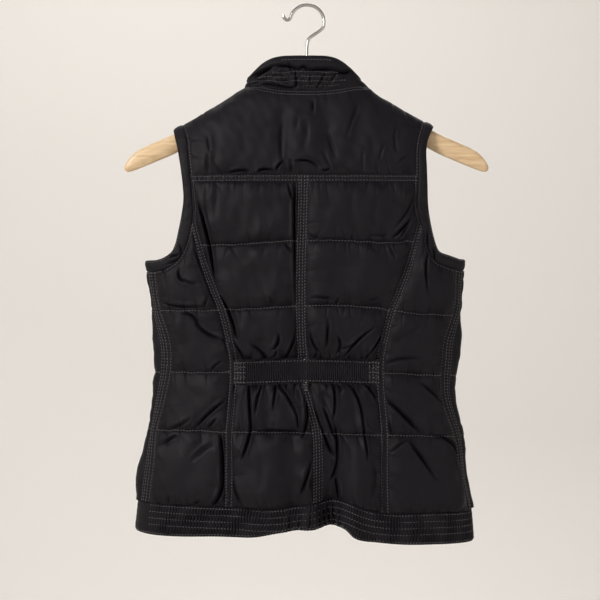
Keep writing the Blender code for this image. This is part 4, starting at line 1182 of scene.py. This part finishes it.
def shirr(panel, pitch, rise, rows, seed, plain_ends=0.0, slant=0.0, patchy=0.25, grow=8.0):
    """Uneven gathers across a band, which shift a little at every row of stitches."""
    x, drop = panel.from_a, panel.from_top
    between = np.searchsorted(np.array(rows), drop[:, 0])[:, None]
    jump = np.random.default_rng(seed).uniform(0, SHIRR_SHIFT, len(rows) + 1)[between]
    phase = x / pitch * 2 * math.pi + SHIRR_DRIFT * ripple(x, 0 * x, 11 * pitch, seed) + jump
    phase = phase + slant * drop + SHIRR_UNEVEN * ripple(x, drop, 4 * pitch, seed + 1)
    height = np.abs(np.cos(phase / 2)) ** SHIRR_ROUND - SHIRR_LOW
    strength = np.clip(1.05 - patchy / 2 + patchy * ripple(x, drop, 8 * pitch, seed + 2), 0.15, 1.4)
    held = ease((x - plain_ends) / 8) * ease((panel.from_b - plain_ends) / grow)
    swell = np.ones(x.shape)
    for row in rows:
        swell = swell * (1 - ROW_PRESS * np.exp(-((drop - row) / ROW_PRESS_HALF) ** 2))
    return rise * height * strength * held * (0.4 + 0.6 * swell) + 0.35 * swell


def band(panel, thick, stitches):
    """Gives a strip of cloth its outer face and its stitches."""
    panel.outer = panel.inner + panel.out * np.maximum(thick, LEAST_WALL)[..., None]
    panel.normals = face_normals(panel.outer, panel.out)
    keep_stitches(panel, stitches)


band(waist, BAND_WALL + shirr(waist, RIB_PITCH, RIB_RISE, ELASTIC_ROWS, 61, 5.0),
     [("top", ELASTIC_ROWS[0]), ("top", ELASTIC_ROWS[-1])]
     + [("top", row, *limits) for row in ELASTIC_ROWS[1:-1] for limits in SHORT_ROWS]
     + [(end, place) for end in "ab" for place in END_ROWS])
cut_panel("waistband", waist)

# ---------------------------------------------------------------------------------------------
# Hem bands: doubled nylon without padding, gathered by five rows of stitches and plain at the
# side seams.  Each is sewn to the foot of its panels and runs from the side seam to the middle.
HEM_EDGE = (
    (-210, 624.5),
    (-185, 626.5),
    (-150, 626.5),
    (-110, 625),
    (-60, 624),
    (-30, 620),
    (5, 617.5),
    (36, 616.2),
    (44, 617.5),
    (54, 625),
    (64, 628),
    (80, 631),
    (110, 634.5),
    (150, 636),
    (205, 638),
)
HEM_ROWS = (2.0, 9.4, 16.8, 24.2)
# Deep tucks of the hem beside the middle of the back.
HEM_TUCKS = (
    (15, 592, 15, 606, 14, 622, 1.2, 3.2), (20, 592, 20, 606, 21, 622, 1.3, 3.4),
    (25, 592, 26, 607, 28, 622, 1.2, 3.2), (31, 592, 32, 607, 34, 624, 1.2, 3.0),
    (37, 590, 38, 606, 41, 624, 1.2, 2.4), (4, 594, 4, 607, 3, 622, 1.2, 1.8),
    (-8, 600, -9, 612, -10, 624, 1.2, 2.2), (-20, 602, -21, 614, -22, 626, 1.2, 2.0),
)
HEM_PITCH = 3.4
HEM_RISE = 2.9
HEM_SLANT = -0.12
HEM_PATCHY = 0.5
# Per side: how gently the gathers begin at the side seam, and how far before it the rows stop.
HEM_GROW = {-1: 46.0, 1: 14.0}
HEM_ROW_STOP = {-1: -13, 1: -4}
FOOT_ROW = 2.4
FOOT_THIN = 0.55
FOOT_ROLL = 2.2
HEM_COLUMNS = {"back": 561, "front": 281}
ZIP_EDGE = 7.5
hem_edge = curve(HEM_EDGE, -215, 215)


def front_edge(side):
    return lambda drop: angle_at(middle(drop) + side * ZIP_EDGE, drop, "front")


for side, word in SIDES:
    for face, columns in HEM_COLUMNS.items():
        first = centre_edge(side, 0) if face == "back" else front_edge(side)
        hem = lay_out(first, side_seam_edge(side, face), (shifted(hem_top, HALF_GAP), hem_edge),
                      np.linspace(0, 1, columns), (29,), face)
        rows = HEM_ROWS + (float(hem.from_top[-1].mean()) - FOOT_ROW,)
        thick = BAND_WALL + shirr(hem, HEM_PITCH, HEM_RISE, rows, 71 + side, slant=HEM_SLANT,
                                  patchy=HEM_PATCHY, grow=HEM_GROW[side])
        if face == "back":
            # The hem's tucks, with shade painted into them.
            relief, hem.painted_shade = crease_relief(hem.x, hem.drop, HEM_TUCKS)
            thick = thick + relief * ease(hem.from_a / 1.5)
        thick = thick * (FOOT_THIN + (1 - FOOT_THIN) * ease(hem.from_foot / FOOT_ROLL))
        band(hem, thick, [("top", row, 1, HEM_ROW_STOP[side]) for row in HEM_ROWS] + [("foot", FOOT_ROW)])
        cut_panel("hem_" + face + "_" + word, hem)

# ---------------------------------------------------------------------------------------------
# Armhole bindings: a folded strip of nylon round each armhole, a front and a back half that meet
# at the shoulder and under the arm, sewn to the cut edge of the padded panels.
BAND_PROFILE = ((0.0, 1.5), (0.1, 3.2), (0.5, 3.7), (0.85, 3.2), (1.0, FLAT_WALL))
# Crumples of the bindings at the two underarms, in the columns of the creases.
BINDING_FOLDS = (
    (-163, 301, -156, 300.5, -148, 298, 1.0, 3.2), (-163, 309.5, -155.5, 307.4, -147.5, 303.5, 1.0, 3.4),
    (-161, 313, -155, 313, -148, 311, 0.9, 2.6), (-148, 288, -146, 300, -148, 314, 1.1, 3.0),
    (141.5, 272, 141.5, 290, 142.5, 306, 1.2, 4.0), (148.5, 292, 149.5, 300, 150, 309, 1.0, 3.0),
)
BAND_COLUMNS = 13
BAND_PUCKER = 0.35
BAND_STITCH = 1.9
BAND_SINK = 0.4
UNDERARM_ROW = 118


def binding(side, face):
    """Places of a binding's points, from its outer edge to its seam and down to the side seam."""
    _, edge_foot, _, seam_foot = ARMHOLES[side][-1]
    seam_drops = np.linspace(ARMHOLES[side][0][3], seam_foot - 0.02, 151)
    under = np.linspace(0, 1, 27)[1:]
    start = angle_at(side * armhole_seam(side, face, seam_foot), seam_foot, face)
    stop = side_seam_edge(side, face)(seam_foot)
    shares = np.linspace(0, 1, BAND_COLUMNS)
    angles, drops = [], []
    for share in shares:
        seam_out = armhole_seam(side, face, seam_drops)
        edge_out, edge_drop = armhole_edge(side, face, seam_drops)
        width = np.hypot(edge_out - seam_out, edge_drop - seam_drops)
        to_seam = share * (1 - SEAM_GAP / width)
        at = edge_drop + (seam_drops - edge_drop) * to_seam
        angle = angle_at(side * (edge_out + (seam_out - edge_out) * to_seam), at, face)
        foot = edge_foot + (seam_foot - SEAM_GAP - edge_foot) * share
        low = start + (stop - start) * under
        angles.append(np.concatenate([angle, low]))
        drops.append(np.concatenate([at, foot + 0 * low]))
    angle, drop = np.array(angles), np.array(drops)
    plain = plain_form(angle, drop)
    return SimpleNamespace(
        drop=drop, x=plain[..., 0], from_a=run_length(plain, 1), from_top=run_length(plain, 0), painted_shade=None,
        inner=inner_form(angle, drop), out=outward(angle, drop),
    )


for side, word in SIDES:
    for face in ("back", "front"):
        strip = binding(side, face)
        share = strip.from_top / strip.from_top[-1:]
        thick = np.interp(share, *zip(*BAND_PROFILE))
        pucker = ripple(strip.from_a, strip.from_top * TUCK_LONG, 8, 81 + side)
        thick = thick + BAND_PUCKER * pucker * np.sin(np.pi * share)
        thick = thick - BAND_SINK * np.exp(-((strip.from_top - BAND_STITCH) / STITCH_SINK_HALF) ** 2)
        if face == "back":
            # Crumples of the back halves, with shade painted into them.
            relief, strip.painted_shade = crease_relief(strip.x, strip.drop, BINDING_FOLDS)
            thick = thick + relief
        band(strip, thick, [("top", BAND_STITCH, UNDERARM_ROW, TO_END)])
        cut_panel("armhole_" + face + "_" + word, strip)
sew("stitches_back")

# ---------------------------------------------------------------------------------------------
# Fronts: a quilted panel from shoulder to hem band on each side of the zip, and a side panel that
# runs round from the princess seam to the side seam.  Same nylon, padding and topstitching.
FRONT_RISE = 7.0
FRONT_STRIPS = (8.6, 3.4, 1.4, 0.8)
FRONT_STITCHES = (("a", 2.0), ("a", 7.2), ("b", 2.2))
FRONT_SIDE_STRIPS = (3.2, 4.6, 2.6, 0.8)
FRONT_SIDE_STITCHES = (("a", 1.5), ("b", 1.0), ("b", 3.6), ("top", 1.4))

for side, word in SIDES:
    edges = (front_edge(side), seam_edge(side, "front"))
    lines = (shoulder_line(front_neck), level(YOKE_DROP), *quilt_rows, shifted(hem_top, -HALF_GAP))
    panel = lay_out(*edges, lines, crowded(65), (47, 29, 29, 29, 29, 31), "front")
    dress_panel(panel, FRONT_RISE, FRONT_STRIPS, FRONT_STITCHES, 91 + side)
    cut_panel("front_" + word, panel)
    edges = (side_seam_edge(side, "front"), princess_edge(side, "front"))
    lines = (armhole_line(side, "front"), *quilt_rows[1:], shifted(hem_top, -HALF_GAP))
    panel = lay_out(*edges, lines, crowded(67), (31, 31, 29, 33), "front")
    dress_panel(panel, SIDE_RISE, FRONT_SIDE_STRIPS, FRONT_SIDE_STITCHES, 101 + side, calm=0.95)
    cut_panel("front_side_" + word, panel)
sew("stitches_front")

# ---------------------------------------------------------------------------------------------
# Stand collar: a padded wall that rises from the neck seam, smooth where it rolls over at the
# top, and shirred by four rows of stitches below a crumpled line.  It is open at the zip.
COLLAR_COLUMNS = ("face", "seam out", "rim out", "rim y", "rim drop")
COLLAR = (
    ("back", 0, 0, -23, 65.5),
    ("back", 16, 12.5, -23, 65),
    ("back", 32, 25, -22.5, 65),
    ("back", 46, 37, -20, 67.5),
    ("back", 58, 48, -14, 73.5),
    ("back", 67, 55, -7, 81),
    ("back", 73, 58.5, 1, 88.5),
    ("front", 73, 58.5, 1, 88.5),
    ("front", 71, 58, 8, 94.5),
    ("front", 66, 54, 15, 101),
    ("front", 57, 47, 21, 107),
    ("front", 45, 38, 26, 112),
    ("front", 30, 26, 29.5, 116),
    ("front", 16, 15, 31, 118),
    ("front", 7.5, 7.5, 31, 118),
)
COLLAR_CLEARANCE = 1.5
RIM_SHIFT = 1.5
COLLAR_PROFILE = ((0.0, 2.6), (0.12, 3.0), (0.3, 3.9), (0.5, 3.9), (0.6, 4.4), (0.68, 6.0), (0.8, 6.3),
                  (0.9, 5.2), (0.955, 3.0), (0.975, 3.3), (1.0, 2.2))
# Rows of shirring: height as a share of the collar, and from where to where they run.
COLLAR_SHIRR = ((0.14, 165, 209), (0.27, 98, 214), (0.40, 107, 197), (0.53, 122, 201))
SHIRR_START, SHIRR_STOP = 90, 222
RIM_ROW = (5.0, 144, 205)
SHIRR_FADE = 16
ROW_FADE = 8
COLLAR_PITCH = 3.0
COLLAR_GATHER = 1.5
COLLAR_LUMPS = 0.9
SHIRR_SINK = 0.7
SHIRR_SINK_HALF = 1.1
RIM_SINK = 0.3
CRUMPLE_AT = 0.6
CRUMPLE_DEPTH = 2.6
CRUMPLE_HALF = 0.028
CRUMPLE_WANDER = 0.035
CRUMPLE_BEHIND = 0.25
ROLL_LUMPS = 0.45
LEFT_RIM = 1.09
RIM_FLAT = 1.0
RIM_EASE = 20
ROW_WANDER = 0.036
COLLAR_END_ROWS = (2.0, 7.2)
BACK_STATIONS = 90
FRONT_STATIONS = 76
# Folds of the collar's back, in the columns of the creases.
COLLAR_FOLDS = (
    (-60.5, 88.6, -48, 81.4, -37.4, 76.6, 1.5, 4.2), (-38, 76.8, -22, 77.2, -8.4, 81.6, 1.5, 4.4),
    (-9, 81.6, -3, 78, 1.4, 83, 1.3, 3.6), (0.5, 83, 16, 81, 30.5, 81, 1.5, 4.4),
    (29.5, 81, 42, 84.4, 50, 81.4, 1.4, 3.8), (-52, 96.5, -36, 98.5, -14, 103.5, 1.3, 3.4),
    (-20.5, 72, -19, 79, -16, 86, 1.1, 2.4), (-14, 81, -12, 93, -12.8, 102, 1.2, 3.4),
    (21.5, 86, 17, 94, 12.5, 101, 1.1, 3.0), (-31, 84, -28, 90, -22, 96, 1.0, 2.0),
    (36, 84, 30, 92, 28, 98, 1.0, 2.2), (5, 86, 4, 92, 4.5, 99, 1.0, 1.8),
)
COLLAR_ACROSS = 45

rim_curves = {
    (face, name): column_curve(sorted((row for row in COLLAR if row[0] == face), key=lambda row: row[1]),
                               COLLAR_COLUMNS, name, 0, 74, key=1)
    for face in ("back", "front") for name in COLLAR_COLUMNS[2:]}


def collar_line(side, face, out):
    """Foot of the collar on the neck seam, the way out there, and the rim above it."""
    drop = (back_neck if face == "back" else front_neck)(out)
    angle = angle_at(side * out, drop, face)
    rim_out, rim_y, rim_drop = (float(rim_curves[face, name](out)) for name in COLLAR_COLUMNS[2:])
    shift = RIM_SHIFT * min(1.0, (COLLAR[-1][3] - rim_y) / RIM_EASE)
    rim_out = rim_out * LEFT_RIM if side < 0 else rim_out
    rim_drop = rim_drop - RIM_FLAT * math.exp(-(out / RIM_EASE) ** 2) if face == "back" else rim_drop
    rim = np.array([side * rim_out - shift, rim_y, -rim_drop])
    return plain_form(angle, drop), outward(angle, drop), rim


half_collar = [("back", out) for out in np.linspace(0, NECK_OUT, BACK_STATIONS)]
half_collar += [("front", out) for out in np.linspace(NECK_OUT, ZIP_EDGE, FRONT_STATIONS)[1:]]
stations = [(-1, *station) for station in reversed(half_collar[1:])]
stations += [(1, *station) for station in half_collar]
lines = [collar_line(*station) for station in stations]
shares = crowded(COLLAR_ACROSS, 0.05)
collar_inside = np.empty((COLLAR_ACROSS, len(stations), 3))
faces_out = np.empty((len(stations), 3))
for index, (foot, facing, rim) in enumerate(lines):
    before, after = lines[max(index - 1, 0)][0], lines[min(index + 1, len(lines) - 1)][0]
    along = (after - before) / np.linalg.norm(after - before)
    to_hole = np.cross(along, facing)
    to_hole /= np.linalg.norm(to_hole)
    to_hole = -to_hole if to_hole @ (rim - foot) < 0 else to_hole
    rise = (rim - foot) / np.linalg.norm(rim - foot)
    face_out = np.cross(rise, along)
    face_out = -face_out if face_out[:2] @ foot[:2] < 0 else face_out
    foot = foot + to_hole * (SEAM_GAP + COLLAR_CLEARANCE * max(0.0, -face_out @ to_hole))
    collar_inside[:, index] = foot + (rim - foot) * shares[:, None]
    faces_out[index] = face_out
collar = SimpleNamespace(inner=collar_inside)
collar.from_a = run_length(collar_inside, 1)
collar.from_b = collar.from_a[:, -1:] - collar.from_a
collar.from_foot = run_length(collar_inside, 0)
collar.from_top = collar.from_foot[-1:] - collar.from_foot
collar.out = np.broadcast_to(faces_out, collar_inside.shape)
share = shares[:, None] + 0 * collar.from_a
around = collar.from_a
tall = collar.from_foot[-1:]
behind = collar_inside[0, :, 1] < 0

# The padded wall, the crumpled line along its front parts, and the folds of its back.
thick = np.interp(share, *zip(*COLLAR_PROFILE))
crumple_at = share - CRUMPLE_AT - CRUMPLE_WANDER * ripple(around, 0 * share, 22, 111)
crumple = np.exp(-(crumple_at / CRUMPLE_HALF) ** 2)
patchy = 0.65 + 0.5 * ripple(around, 0 * share, 30, 112)
thick = thick - CRUMPLE_DEPTH * crumple * np.where(behind, CRUMPLE_BEHIND, np.clip(patchy, 0.15, 1.2))
relief, dark = crease_relief(collar_inside[..., 0], -collar_inside[..., 2], COLLAR_FOLDS)
thick = thick + np.where(behind, relief, 0)
# Shade painted into the folds of the collar's back.
collar.painted_shade = np.where(behind, dark, 0)

# Gathers below that line, where the collar is shirred, and soft lumps in the roll above it.
low_part = ease((CRUMPLE_AT - share) / 0.06) * ease(share / 0.06)
low_part = low_part * ease((around - SHIRR_START) / SHIRR_FADE) * ease((SHIRR_STOP - around) / SHIRR_FADE)
phase = around / COLLAR_PITCH * 2 * math.pi + 2.2 * ripple(around, 0 * share, 26, 113)
phase = phase + 1.6 * ripple(around, share * 44, 13, 114)
thick = thick + COLLAR_GATHER * low_part * (np.abs(np.cos(phase / 2)) ** SHIRR_ROUND - SHIRR_LOW)
thick = thick + COLLAR_LUMPS * low_part * ripple(around, share * 60, 12, 115)
roll_part = ease((share - 0.66) / 0.1) * ease((0.95 - share) / 0.1)
thick = thick + ROLL_LUMPS * ripple(around, share * 40, 21, 116) * roll_part

# Dents under the rows of stitches, and the stitches themselves.
wander = ROW_WANDER * ripple(around[0], 0 * around[0], 34, 117)
for row, start, stop in COLLAR_SHIRR:
    along = ease((around - start) / ROW_FADE) * ease((stop - around) / ROW_FADE)
    thick = thick - SHIRR_SINK * along * np.exp(-((share - row - wander) * tall / SHIRR_SINK_HALF) ** 2)
thick = thick - RIM_SINK * np.exp(-((collar.from_top - RIM_ROW[0]) / STITCH_SINK_HALF) ** 2)
band(collar, thick, [("top", *RIM_ROW)])
for row, start, stop in COLLAR_SHIRR:
    at = np.interp(row + wander, shares, np.arange(COLLAR_ACROSS))
    low, part, every = at.astype(int), (at % 1)[:, None], np.arange(len(stations))
    held = (around[low, every] > start) & (around[low, every] < stop)
    line, faces = (item[low, every] * (1 - part) + item[low + 1, every] * part
                   for item in (collar.outer, collar.normals))
    seams.append(evened(line[held], faces[held]))
keep_stitches(collar, [(side, distance) for side in "ab" for distance in COLLAR_END_ROWS])
collar.from_top = collar.from_foot
cut_panel("collar", collar)
sew("stitches_collar")

# ---------------------------------------------------------------------------------------------
# Zip: two woven polyester tapes, sewn inside the front edges, and a chain of moulded plastic
# teeth clamped to them.  It is closed to the top of the collar.
TAPE_INNER = 3.1
TAPE_OUTER = 15.0
TAPE_WALL = 1.0
TAPE_FACE = -0.5
TAPE_WAVE = 0.12
TAPE_POINTS = 9
TAPE_COLLAR_ROWS = 12
TAPE_VEST_ROWS = 170
CHAIN_FACE = 0.9
CHAIN_WALL = 2.4
CHAIN_HALF = 2.8
ZIP_TOP = 121.0
CHAIN_TOP = 128.0
ZIP_FOOT = 615.0
TOOTH_PITCH = 2.7
TOOTH_TALL = 1.75
TOOTH_REACH = 0.9
TOOTH_TIP = (1, 0.86, 1.12)
TOOTH_ROUND = 0.28

seam_drop = float(front_neck(ZIP_EDGE))
seam_y = float(plain_form(np.array(180.0), np.array(seam_drop))[1])
rim_y, rim_drop = COLLAR[-1][3:]


def zip_y(drop):
    """Inner face of the front at the zip, on the vest and then on its collar."""
    on_vest = plain_form(180.0 + 0 * drop, drop)[..., 1]
    on_collar = seam_y + (rim_y - seam_y) * (seam_drop - drop) / (seam_drop - rim_drop)
    return np.where(drop >= seam_drop, on_vest, on_collar)


def diagonal_tape():
    """Dull black tape with the fine slanted ribs of its weave."""
    made, tree, shader = plain_material("black woven tape", (0.014, 0.0135, 0.015), 0.85)
    place = tree.nodes.new("ShaderNodeTexCoord").outputs
    ribs = add_node(tree, "TexWave", "Fac", {"Vector": place["UV"], "Scale": 260}, bands_direction="DIAGONAL")
    rough = add_node(tree, "Bump", "Normal", {"Height": ribs, "Strength": 0.6, "Distance": 0.0002})
    set_inputs(tree, shader, {"Normal": rough})
    return made


def rubbed_material(name, colour, roughness, metallic, scale, least, most):
    """A plain material whose roughness goes from least to most in small patches."""
    made, tree, shader = plain_material(name, colour, roughness, metallic)
    place = tree.nodes.new("ShaderNodeTexCoord").outputs
    patches = add_node(tree, "TexNoise", "Fac", {"Vector": place["Object"], "Scale": scale})
    spread = add_node(tree, "MapRange", "Result", {"Value": patches, "To Min": least, "To Max": most})
    set_inputs(tree, shader, {"Roughness": spread})
    return made


tape_material = diagonal_tape()
for side, word in SIDES:
    drop = np.concatenate([np.linspace(ZIP_TOP, seam_drop, TAPE_COLLAR_ROWS)[:-1],
                           np.linspace(seam_drop, ZIP_FOOT, TAPE_VEST_ROWS)])
    drop = drop[:, None] + np.zeros((1, TAPE_POINTS))
    across = np.linspace(TAPE_INNER, TAPE_OUTER, TAPE_POINTS)[None, :]
    x = middle(drop) + side * across
    wave = TAPE_WAVE * ripple(x, drop, 14, 121 + side)
    inside = np.stack([x, zip_y(drop) + TAPE_FACE - TAPE_WALL, -drop], -1)
    outside = np.stack([x, zip_y(drop) + TAPE_FACE + wave - TAPE_WAVE, -drop], -1)
    tape = cloth_wall("tape_" + word, inside, outside, (across + 0 * drop, drop), tape_material)
    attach(tape, "vest")
    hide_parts("zip_tape_" + word)

teeth_material = rubbed_material("black moulded teeth", (0.02, 0.02, 0.021), 0.38, 0.0, 180, 0.28, 0.5)
bm = bmesh.new()
bmesh.ops.create_cube(bm, size=1.0)
bmesh.ops.scale(bm, vec=(CHAIN_HALF + TOOTH_REACH, CHAIN_WALL, TOOTH_TALL), verts=bm.verts)
tips = [vert for vert in bm.verts if vert.co.x < 0]
bmesh.ops.scale(bm, vec=TOOTH_TIP, verts=tips)
bmesh.ops.bevel(bm, geom=bm.edges[:], offset=TOOTH_ROUND, segments=1, profile=0.5, affect="EDGES",
                material=-1)
single = bpy.data.meshes.new("one_tooth")
bm.to_mesh(single)
bm.free()
count = int((ZIP_FOOT - CHAIN_TOP) / TOOTH_PITCH)
bm = bmesh.new()
for number in range(count * 2):
    side = 1 if number % 2 else -1
    drop = CHAIN_TOP + TOOTH_PITCH * (number + 1) / 2
    before = len(bm.verts)
    bm.from_mesh(single)
    bm.verts.ensure_lookup_table()
    new = bm.verts[before:]
    if side < 0:
        bmesh.ops.rotate(bm, verts=new, cent=(0, 0, 0), matrix=Matrix.Rotation(math.pi, 3, "Z"))
    lean = math.atan2(rim_y - seam_y, seam_drop - rim_drop) if drop < seam_drop else 0.0
    bmesh.ops.rotate(bm, verts=new, cent=(0, 0, 0), matrix=Matrix.Rotation(-lean, 3, "X"))
    spot = (float(middle(drop)) + side * (CHAIN_HALF - TOOTH_REACH) / 2,
            float(zip_y(np.array(drop))) + CHAIN_FACE - CHAIN_WALL / 2, -drop)
    bmesh.ops.translate(bm, vec=spot, verts=new)
bmesh.ops.scale(bm, vec=(MM, MM, MM), verts=bm.verts)
bpy.data.meshes.remove(single)
chain = finish_mesh("zip_teeth", bm, teeth_material, 40)
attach(chain, "vest")
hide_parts("zip_chain")

# Slider and pull tab: dark enamelled zinc with brighter worn patches, cast in two pieces.  The
# slider runs on the chain and the tab hangs from its bridge.
enamel, tree, shader = plain_material("dark enamelled zinc", (0.07, 0.07, 0.075), 0.35, 0.85)
place = tree.nodes.new("ShaderNodeTexCoord").outputs
rubbed = add_node(tree, "TexNoise", "Fac", {"Vector": place["Object"], "Scale": 420, "Detail": 3})
blend = add_node(tree, "Mix", "Result", {"Factor": rubbed, "A": (0.05, 0.05, 0.054, 1),
                                         "B": (0.13, 0.13, 0.135, 1)}, data_type="RGBA")
set_inputs(tree, shader, {"Base Color": blend})
for node in ("zip_slider", "zip_pull_tab"):
    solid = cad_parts[node]
    solid.data.materials.clear()
    solid.data.materials.append(enamel)

# ---------------------------------------------------------------------------------------------
# Hanger: one shaped bar of pale maple, with a flat upright face over a slanted lower facet and
# rounded drooping tips, under clear satin lacquer.  The vest rests on its two arms.
HANGER_COLUMNS = ("out", "top drop", "height", "half thickness")
HANGER = (
    (0, 77.5, 34, 8.0),
    (10, 80.5, 31, 8.0),
    (24, 88.5, 26, 7.6),
    (46, 98.5, 24, 7.2),
    (66, 104.5, 23.5, 7.0),
    (82, 110.5, 23.5, 7.0),
    (102, 120.0, 24, 7.0),
    (130, 136.9, 24, 7.0),
    (145, 145.4, 24, 7.0),
    (160, 153.4, 23.8, 7.0),
    (176, 160.4, 23.6, 7.0),
    (193, 168.0, 23.2, 6.9),
    (204, 174.0, 21.5, 6.6),
    (211, 180.5, 17.2, 5.9),
    (216, 187.5, 10.4, 4.3),
    (218, 191.5, 4.6, 2.2),
)
# Corners of its section: share of half the thickness, share of the height.
HANGER_SECTION = ((0.45, 0.0), (1.0, 0.34), (1.0, 0.7), (0.8, 0.88), (0.42, 0.972), (0.12, 1.0))
HANGER_STEP = 3.0
CORNER_CUTS = 3
CORNER_KEEP = 0.86
TIP_FROM = 201
TIP_STATIONS = 12
MAPLE_TONES = ((0.28, (0.65, 0.425, 0.215, 1)), (0.72, (0.89, 0.675, 0.42, 1)))

maple, tree, shader = plain_material("pale maple", (0.80, 0.58, 0.335), 0.38)
place = tree.nodes.new("ShaderNodeTexCoord").outputs
along = add_node(tree, "Mapping", "Vector", {"Vector": place["Object"], "Scale": (7, 120, 120)})
grain = add_node(tree, "TexNoise", "Fac", {"Vector": along, "Scale": 2.2, "Detail": 6, "Distortion": 0.5})
tone = tree.nodes.new("ShaderNodeValToRGB")
for element, (position, colour) in zip(tone.color_ramp.elements, MAPLE_TONES):
    element.position = position
    element.color = colour
set_inputs(tree, tone, {"Fac": grain})
pores = add_node(tree, "Bump", "Normal", {"Height": grain, "Strength": 0.12, "Distance": 0.0003})
set_inputs(tree, shader, {"Base Color": tone.outputs["Color"], "Normal": pores,
                          "Coat Weight": 0.25, "Coat Roughness": 0.3})

ring = list(HANGER_SECTION)
ring += [(-y, z) for y, z in reversed(ring)]
for _ in range(CORNER_CUTS):
    pairs = list(zip(ring, ring[1:] + ring[:1]))
    ring = [(ay * keep + by * (1 - keep), az * keep + bz * (1 - keep))
            for (ay, az), (by, bz) in pairs for keep in (CORNER_KEEP, 1 - CORNER_KEEP)]
stations = list(np.arange(0, TIP_FROM - 1, HANGER_STEP))
stations += list(np.linspace(TIP_FROM, HANGER[-1][0], TIP_STATIONS))
stations = [-out for out in reversed(stations[1:])] + stations
top_of, height_of, half_of = (
    column_curve(HANGER, HANGER_COLUMNS, name, 0, 219) for name in HANGER_COLUMNS[1:])
bm = bmesh.new()
bmesh.ops.create_grid(bm, x_segments=len(ring), y_segments=len(stations) - 1, size=0.5)
for vert in bm.verts:
    y_share, z_share = ring[round((vert.co.x + 0.5) * len(ring)) % len(ring)]
    x = stations[round((vert.co.y + 0.5) * (len(stations) - 1))]
    out = abs(x)
    height = float(height_of(out))
    vert.co = (x, float(half_of(out)) * y_share, height * z_share - float(top_of(out)) - height)
bmesh.ops.remove_doubles(bm, verts=bm.verts, dist=0.0005)
ends = [edge for edge in bm.edges if edge.is_boundary]
bmesh.ops.holes_fill(bm, edges=ends, sides=0)
bmesh.ops.scale(bm, vec=(MM, MM, MM), verts=bm.verts)
bar = finish_mesh("hanger_bar", bm, maple, 38)
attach(bar, "vest")
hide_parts("hanger_body")

# ---------------------------------------------------------------------------------------------
# Hook: bright drawn steel wire, screwed into the crown of the hanger and curled at its tip.  The
# inside of its arch bears the whole weight.
WIRE = 4.2
ARCH_RADIUS = 20.6
ARCH_X = 0.6
ARCH_FROM = -10.0
ARCH_TO = 166.0
ARCH_STEP = 16.0
SHANK = ((0.6, 91.2), (0.6, 76), (0.6, 62), (0.6, 50), (2.3, 39.5), (7.8, 34.3), (14.2, 30.2), (18.8, 26.3))
PATH_STEP = 0.2
TIP = ((-22.0, 15.8), (-25.2, 15.3), (-27.2, 12.8), (-27.6, 10.0))

steel = rubbed_material("bright steel wire", (0.60, 0.59, 0.57), 0.2, 1.0, 300, 0.14, 0.3)

points = list(SHANK)
for step in range(int((ARCH_TO - ARCH_FROM) / ARCH_STEP) + 1):
    turn = math.radians(ARCH_FROM + ARCH_STEP * step)
    points.append((ARCH_X + ARCH_RADIUS * math.cos(turn),
                   ARCH_RADIUS - WIRE / 2 - ARCH_RADIUS * math.sin(turn)))
points += TIP
at = np.arange(0, len(points) - 1 + 1e-9, PATH_STEP)
path_x, path_drop = (smoothed(list(enumerate(column)), at) for column in zip(*points))
wire = bpy.data.curves.new("hook_wire", "CURVE")
wire.dimensions = "3D"
wire.bevel_depth = WIRE / 2 * MM
wire.bevel_resolution = 5
wire.use_fill_caps = True
spline = wire.splines.new("POLY")
spline.points.add(len(at) - 1)
for point, x, drop in zip(spline.points, path_x, path_drop):
    point.co = (x * MM, 0, -drop * MM, 1)
wire.materials.append(steel)
hook = bpy.data.objects.new("hook_wire", wire)
scene.collection.objects.link(hook)
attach(hook, "vest")
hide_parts("hanger_hook")
